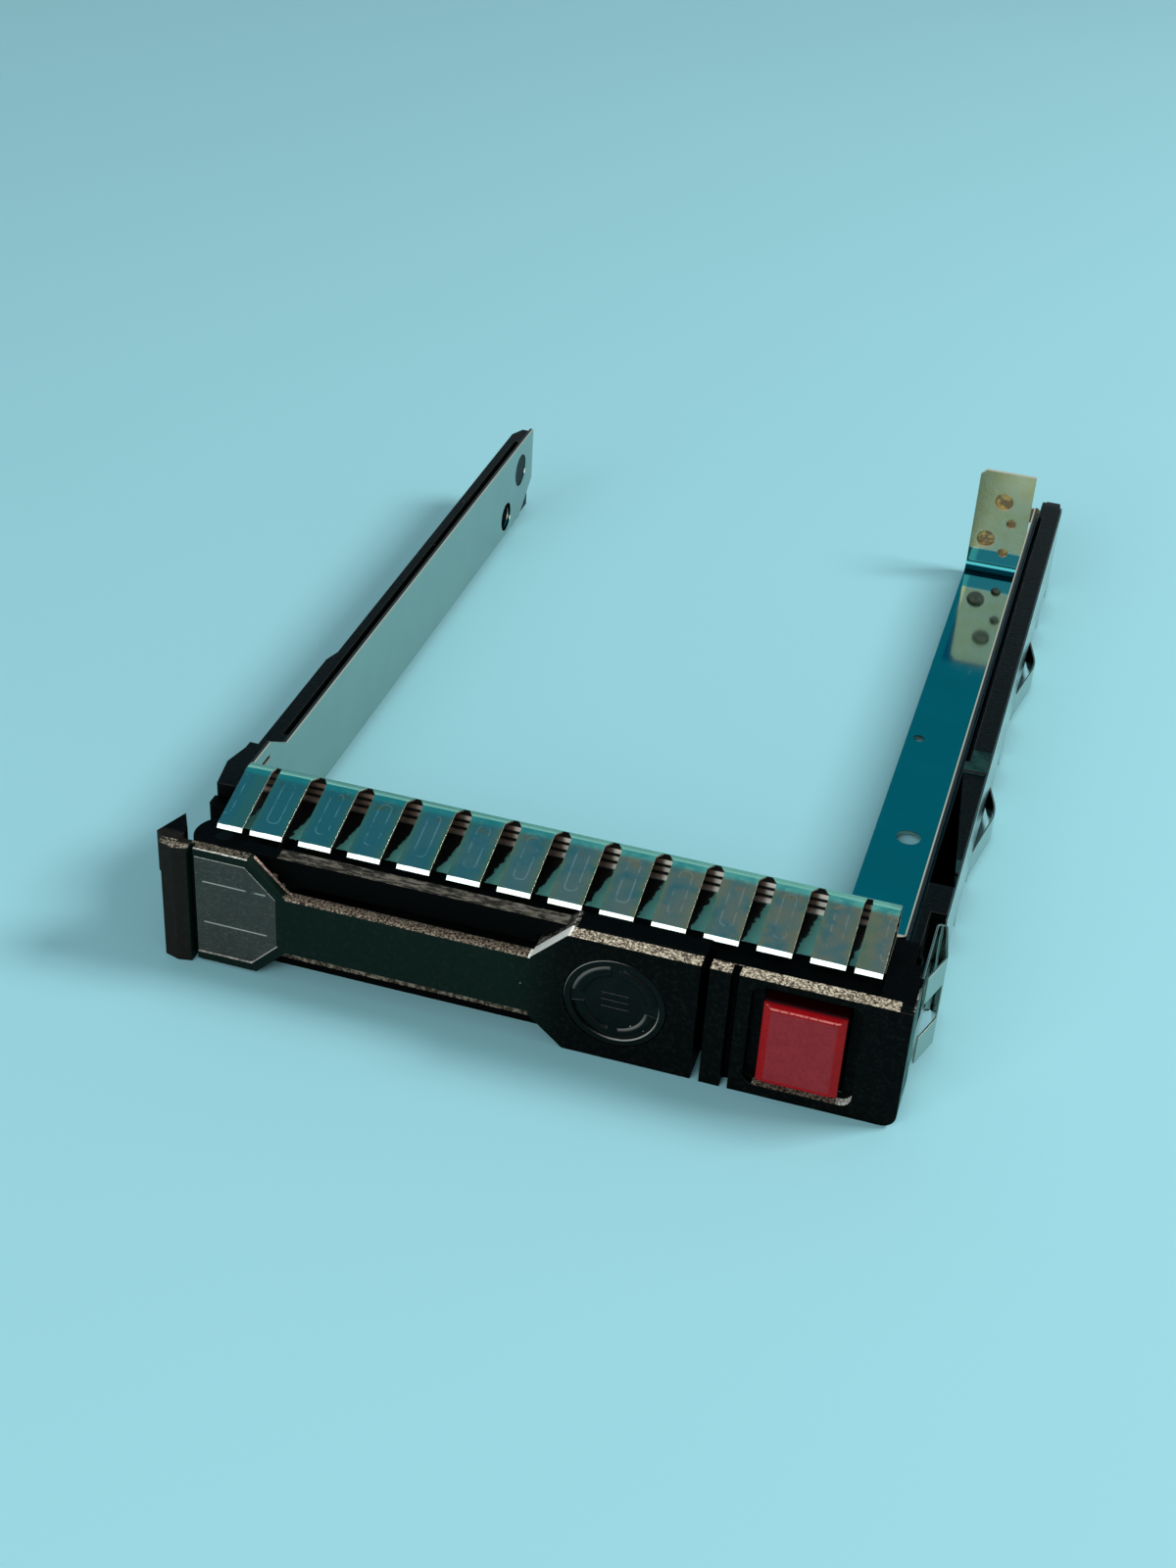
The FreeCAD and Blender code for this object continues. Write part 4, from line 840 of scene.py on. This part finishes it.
def joined(parts):
    """Several pieces of geometry as one."""
    both = parts[0].node("GeometryNodeJoinGeometry")
    for part in reversed(parts):
        both.tree.links.new(part.socket, both.socket.node.inputs[0])
    return both


def close_tree(flow, geometry, skin):
    """Make instances real, set the material and hand the geometry out."""
    real = flow.node("GeometryNodeRealizeInstances", None, {"Geometry": geometry})
    done = flow.node("GeometryNodeSetMaterial", None, {"Geometry": real, "Material": skin})
    flow.node("NodeGroupOutput", None, {"Geometry": done})


def run_tree(tree, name, values):
    """The tree's result as a plain mesh on a new object at the origin."""
    carrier = linked(name + "_maker", bpy.data.meshes.new(name + "_maker"))
    modifier = carrier.modifiers.new("tree", "NODES")
    modifier.node_group = tree
    for item in tree.interface.items_tree:
        if item.in_out == "INPUT" and item.name in values:
            modifier[item.identifier] = values[item.name]
    bpy.context.view_layer.update()
    solid = carrier.evaluated_get(bpy.context.evaluated_depsgraph_get())
    mesh = bpy.data.meshes.new_from_object(solid)
    mesh.name = name
    bpy.data.objects.remove(carrier)
    return linked(name, mesh)


def straight(given, height, along):
    """A straight piece of wire that leaves the coil at one height."""
    corner = given["Radius"].node("ShaderNodeCombineXYZ", None, {0: given["Radius"], 2: height})
    tip = corner.node("ShaderNodeCombineXYZ", None, {0: given["Radius"], 1: along, 2: height})
    return tip.node("GeometryNodeCurvePrimitiveLine", {"mode": "POINTS"}, {"Start": corner, "End": tip})


def spring_tree(with_legs, backward):
    """Round wire along a spiral, with a straight leg from each end where it has them."""
    inputs = {"Radius": 1.0, "Wire": 0.1, "Height": 1.0, "Turns": 3.0, "Start": (0.0, 0.0, 0.0),
              "Turn": (0.0, 0.0, 0.0), "Material": small_steel}
    if with_legs:
        inputs.update({"Back leg": 1.0, "Front leg": 1.0})
    flow, given = new_tree("wire spring", inputs)
    path = flow.node("GeometryNodeCurveSpiral", None, {
        "Resolution": 40, "Rotations": given["Turns"], "Start Radius": given["Radius"],
        "End Radius": given["Radius"], "Height": given["Height"], "Reverse": backward})
    if with_legs:
        path = joined([path, straight(given, given["Height"] * 0, given["Back leg"]),
                       straight(given, given["Height"], -given["Front leg"])])
    ring = flow.node("GeometryNodeCurvePrimitiveCircle", None, {
        "Resolution": 14, "Radius": given["Wire"] / 2})
    wire = flow.node("GeometryNodeCurveToMesh", None, {
        "Curve": path, "Profile Curve": ring, "Fill Caps": True})
    turned = flow.node("GeometryNodeTransform", None, {
        "Geometry": wire, "Translation": given["Start"], "Rotation": given["Turn"]})
    close_tree(flow, turned, given["Material"])
    return flow.tree


def relief_tree():
    """Four raised arcs round three short raised bars, facing forwards."""
    flow, given = new_tree("lens relief", {
        "Arc radius": 3.7, "Arc width": 1.1, "Rise": 0.12, "Sweep": 1.2, "Bar length": 2.8,
        "Bar width": 0.5, "Bar pitch": 0.85, "Start": (0.0, 0.0, 0.0), "Material": lens_black})
    arc = flow.node("GeometryNodeCurveArc", {"mode": "RADIUS"}, {
        "Resolution": 26, "Radius": given["Arc radius"], "Sweep Angle": given["Sweep"],
        "Start Angle": given["Sweep"] * -0.5 + math.pi / 4})
    section = flow.node("GeometryNodeCurvePrimitiveQuadrilateral", None, {
        "Width": given["Arc width"], "Height": given["Rise"]})
    band = flow.node("GeometryNodeCurveToMesh", None, {
        "Curve": arc, "Profile Curve": section, "Fill Caps": True})
    four = flow.node("GeometryNodeMeshLine", {"mode": "OFFSET"}, {"Count": 4, "Offset": (0, 0, 0)})
    quarter = flow.node("GeometryNodeInputIndex") * (math.pi / 2)
    turn = flow.node("ShaderNodeCombineXYZ", None, {2: quarter})
    arcs = flow.node("GeometryNodeInstanceOnPoints", None, {
        "Points": four, "Instance": band, "Rotation": turn})
    size = flow.node("ShaderNodeCombineXYZ", None, {
        0: given["Bar length"], 1: given["Bar width"], 2: given["Rise"]})
    bar = flow.node("GeometryNodeMeshCube", None, {"Size": size})
    step = flow.node("ShaderNodeCombineXYZ", None, {1: given["Bar pitch"]})
    first = flow.node("ShaderNodeCombineXYZ", None, {1: -given["Bar pitch"]})
    three = flow.node("GeometryNodeMeshLine", {"mode": "OFFSET"}, {
        "Count": 3, "Start Location": first, "Offset": step})
    bars = flow.node("GeometryNodeInstanceOnPoints", None, {"Points": three, "Instance": bar})
    upright = flow.node("GeometryNodeTransform", None, {
        "Geometry": joined([arcs, bars]), "Translation": given["Start"],
        "Rotation": (math.pi / 2, 0, 0)})
    close_tree(flow, upright, given["Material"])
    return flow.tree


# %% Springs and the marks on the lens
def wire_spring(node, start, radius, wire, turns, height, turn=(0.0, 0.0, 0.0), legs=None,
                backward=False):
    """Round wire in place of a node's plain helix. radius is the coil's outer one, and start is the
    middle of its first turn. All lengths are in millimetres."""
    values = {"Radius": (radius - wire / 2) * MM, "Wire": wire * MM, "Height": height * MM,
              "Turns": turns, "Start": [part * MM for part in start], "Turn": turn}
    if legs:
        values.update({"Back leg": legs[0] * MM, "Front leg": legs[1] * MM})
    piece = run_tree(spring_tree(bool(legs), backward), node + "_wire", values)
    print(piece.name, "has", len(piece.data.polygons), "faces")
    return seat(piece, node)


pin_low, pin_high = box_in_mm("lever_pin")
pin_middle = (pin_low + pin_high) / 2
coil_low, coil_high = box_in_mm("lever_spring")
coil_wire = 0.45
wire_spring("lever_spring", (pin_middle.x, pin_middle.y, coil_low.z + coil_wire / 2),
            (coil_high.x - coil_low.x) / 2, coil_wire, 3.0, coil_high.z - coil_low.z - coil_wire,
            legs=(coil_high.y - pin_middle.y, pin_middle.y - coil_low.y), backward=True)
push_low, push_high = box_in_mm("button_spring")
push_middle = (push_low + push_high) / 2
push_wire = 0.4
push_spring = wire_spring("button_spring", (push_middle.x, push_low.y + push_wire / 2, push_middle.z),
                          (push_high.x - push_low.x) / 2, push_wire, 5.0,
                          push_high.y - push_low.y - push_wire, turn=(-math.pi / 2, 0.0, 0.0))
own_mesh(push_spring)

lens_back = 0.20  # how far behind the lens's front the marks are centred
marks = run_tree(relief_tree(), "ring_marks", {
    "Arc radius": 3.78 * MM, "Arc width": 1.3 * MM, "Rise": 0.16 * MM, "Sweep": math.radians(72),
    "Bar length": 2.8 * MM, "Bar width": 0.5 * MM, "Bar pitch": 0.85 * MM,
    "Start": (ring_middle.x * MM, (ring_low.y + lens_back) * MM, ring_middle.z * MM),
    "Material": mark_edge})
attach(marks, frame["nodes"]["ring_lens"]["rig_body"])
print("marks on the lens have", len(marks.data.polygons), "faces")

# %% [markdown]
# ## A plain pale set
#
# Steel shows its surroundings more than itself. A pale floor gives the walls something light to
# mirror, and three dark blue cards hung over it, from behind to in front, keep the flat upper faces
# deep and calm. Only mirrors see the cards. The lamps are soft.

# %% Floor, cards and lamps
floor_tone = (0.36, 0.73, 0.82, 1)
card_tone = (0.002, 0.21, 0.32, 1)
room_tone = (0.80, 0.90, 0.92, 1)
aim_point = (0, 0.02, 0)


def flat_card(name, width, depth, centre, look_at, skin):
    """A flat rectangle that faces a point, as part of the set."""
    half_w, half_d = width / 2, depth / 2
    mesh = bpy.data.meshes.new(name)
    corners = [(-half_w, -half_d, 0), (half_w, -half_d, 0), (half_w, half_d, 0), (-half_w, half_d, 0)]
    mesh.from_pydata(corners, [], [(0, 1, 2, 3)])
    aim = (Vector(look_at) - Vector(centre)).to_track_quat("Z", "Y").to_matrix().to_4x4()
    mesh.transform(Matrix.Translation(centre) @ aim)
    mesh.materials.append(skin)
    card = linked(name, mesh)
    return card


def floor_paint(flow):
    """Smooth matt paint with a barely visible variation."""
    place, _ = place_in_mm(flow)
    cloud = noise(place, 90.0, 2.0)
    return {"Base Color": mixed(cloud, floor_tone, shade(floor_tone, 0.97)),
            "Roughness": 0.6 + 0.1 * cloud,
            "Specular IOR Level": 0.25}


def card_paint(flow):
    """Flat colour with no shine."""
    return {"Base Color": (0, 0, 0, 1), "Roughness": 1.0, "Specular IOR Level": 0.0,
            "Emission Color": card_tone, "Emission Strength": 1.0}


flat_card("floor", 6.0, 6.0, (0, 0, 0), (0, 0, 1), material("floor paint", floor_paint))
card_skin = material("card paint", card_paint)
cards = {"back card": (0.53, (0.0, 0.70, 0.52)), "top card": (0.75, (0.0, 0.30, 0.78)),
         "front card": (0.60, (0.0, -0.30, 0.80))}
for name, (depth, centre) in cards.items():
    card = flat_card(name, 1.5, depth, centre, (0, 0.03, 0.0), card_skin)
    card.visible_camera = False
    card.visible_diffuse = False
    card.visible_shadow = False


def soft_lamp(name, power, size, where, colour=(1, 1, 1)):
    """A square soft lamp that faces the caddy."""
    lamp = bpy.data.lights.new(name, "AREA")
    lamp.energy = power
    lamp.size = size
    lamp.color = colour
    holder = linked(name, lamp)
    holder.location = where
    holder.rotation_euler = (Vector(aim_point) - Vector(where)).to_track_quat("-Z", "Y").to_euler()


soft_lamp("window lamp", 4.2, 0.25, (0.55, 0.22, 0.55), (1.0, 0.98, 0.95))
soft_lamp("front lamp", 2.2, 0.45, (-0.16, -0.58, 0.33))

world = bpy.data.worlds.new("pale room")
scene.world = world
world.use_nodes = True
world.node_tree.nodes.clear()
room = Flow(world.node_tree)
seen = room.node("ShaderNodeLightPath", output="Is Camera Ray")
mirrored = room.node("ShaderNodeLightPath", output="Is Glossy Ray")
through = room.node("ShaderNodeLightPath", output="Is Transmission Ray")
direct = rises(seen + mirrored + through, 0.0, 1.0)
backdrop = room.node("ShaderNodeBackground", None, {
    "Color": room_tone, "Strength": 0.35 + 0.45 * direct})
room.node("ShaderNodeOutputWorld", None, {"Surface": backdrop})

# %% [markdown]
# ## Camera
#
# The camera stands about 22 centimetres away, in front of the caddy's right half, and looks down and
# to the left. A short distance gives the strong taper that shows how small the thing is.

# %% Camera
camera_place = (48.64, -171.21, 146.18)
camera_turn = (55.946, -3.106, 16.886)
camera_data = bpy.data.cameras.new("camera")
camera_data.lens = 50.9
camera_data.sensor_width = 36.0
camera_data.clip_start = 0.01
camera = linked("camera", camera_data)
camera.location = [part * MM for part in camera_place]
camera.rotation_euler = [math.radians(turn) for turn in camera_turn]
scene.camera = camera
scene.view_settings.view_transform = "Standard"
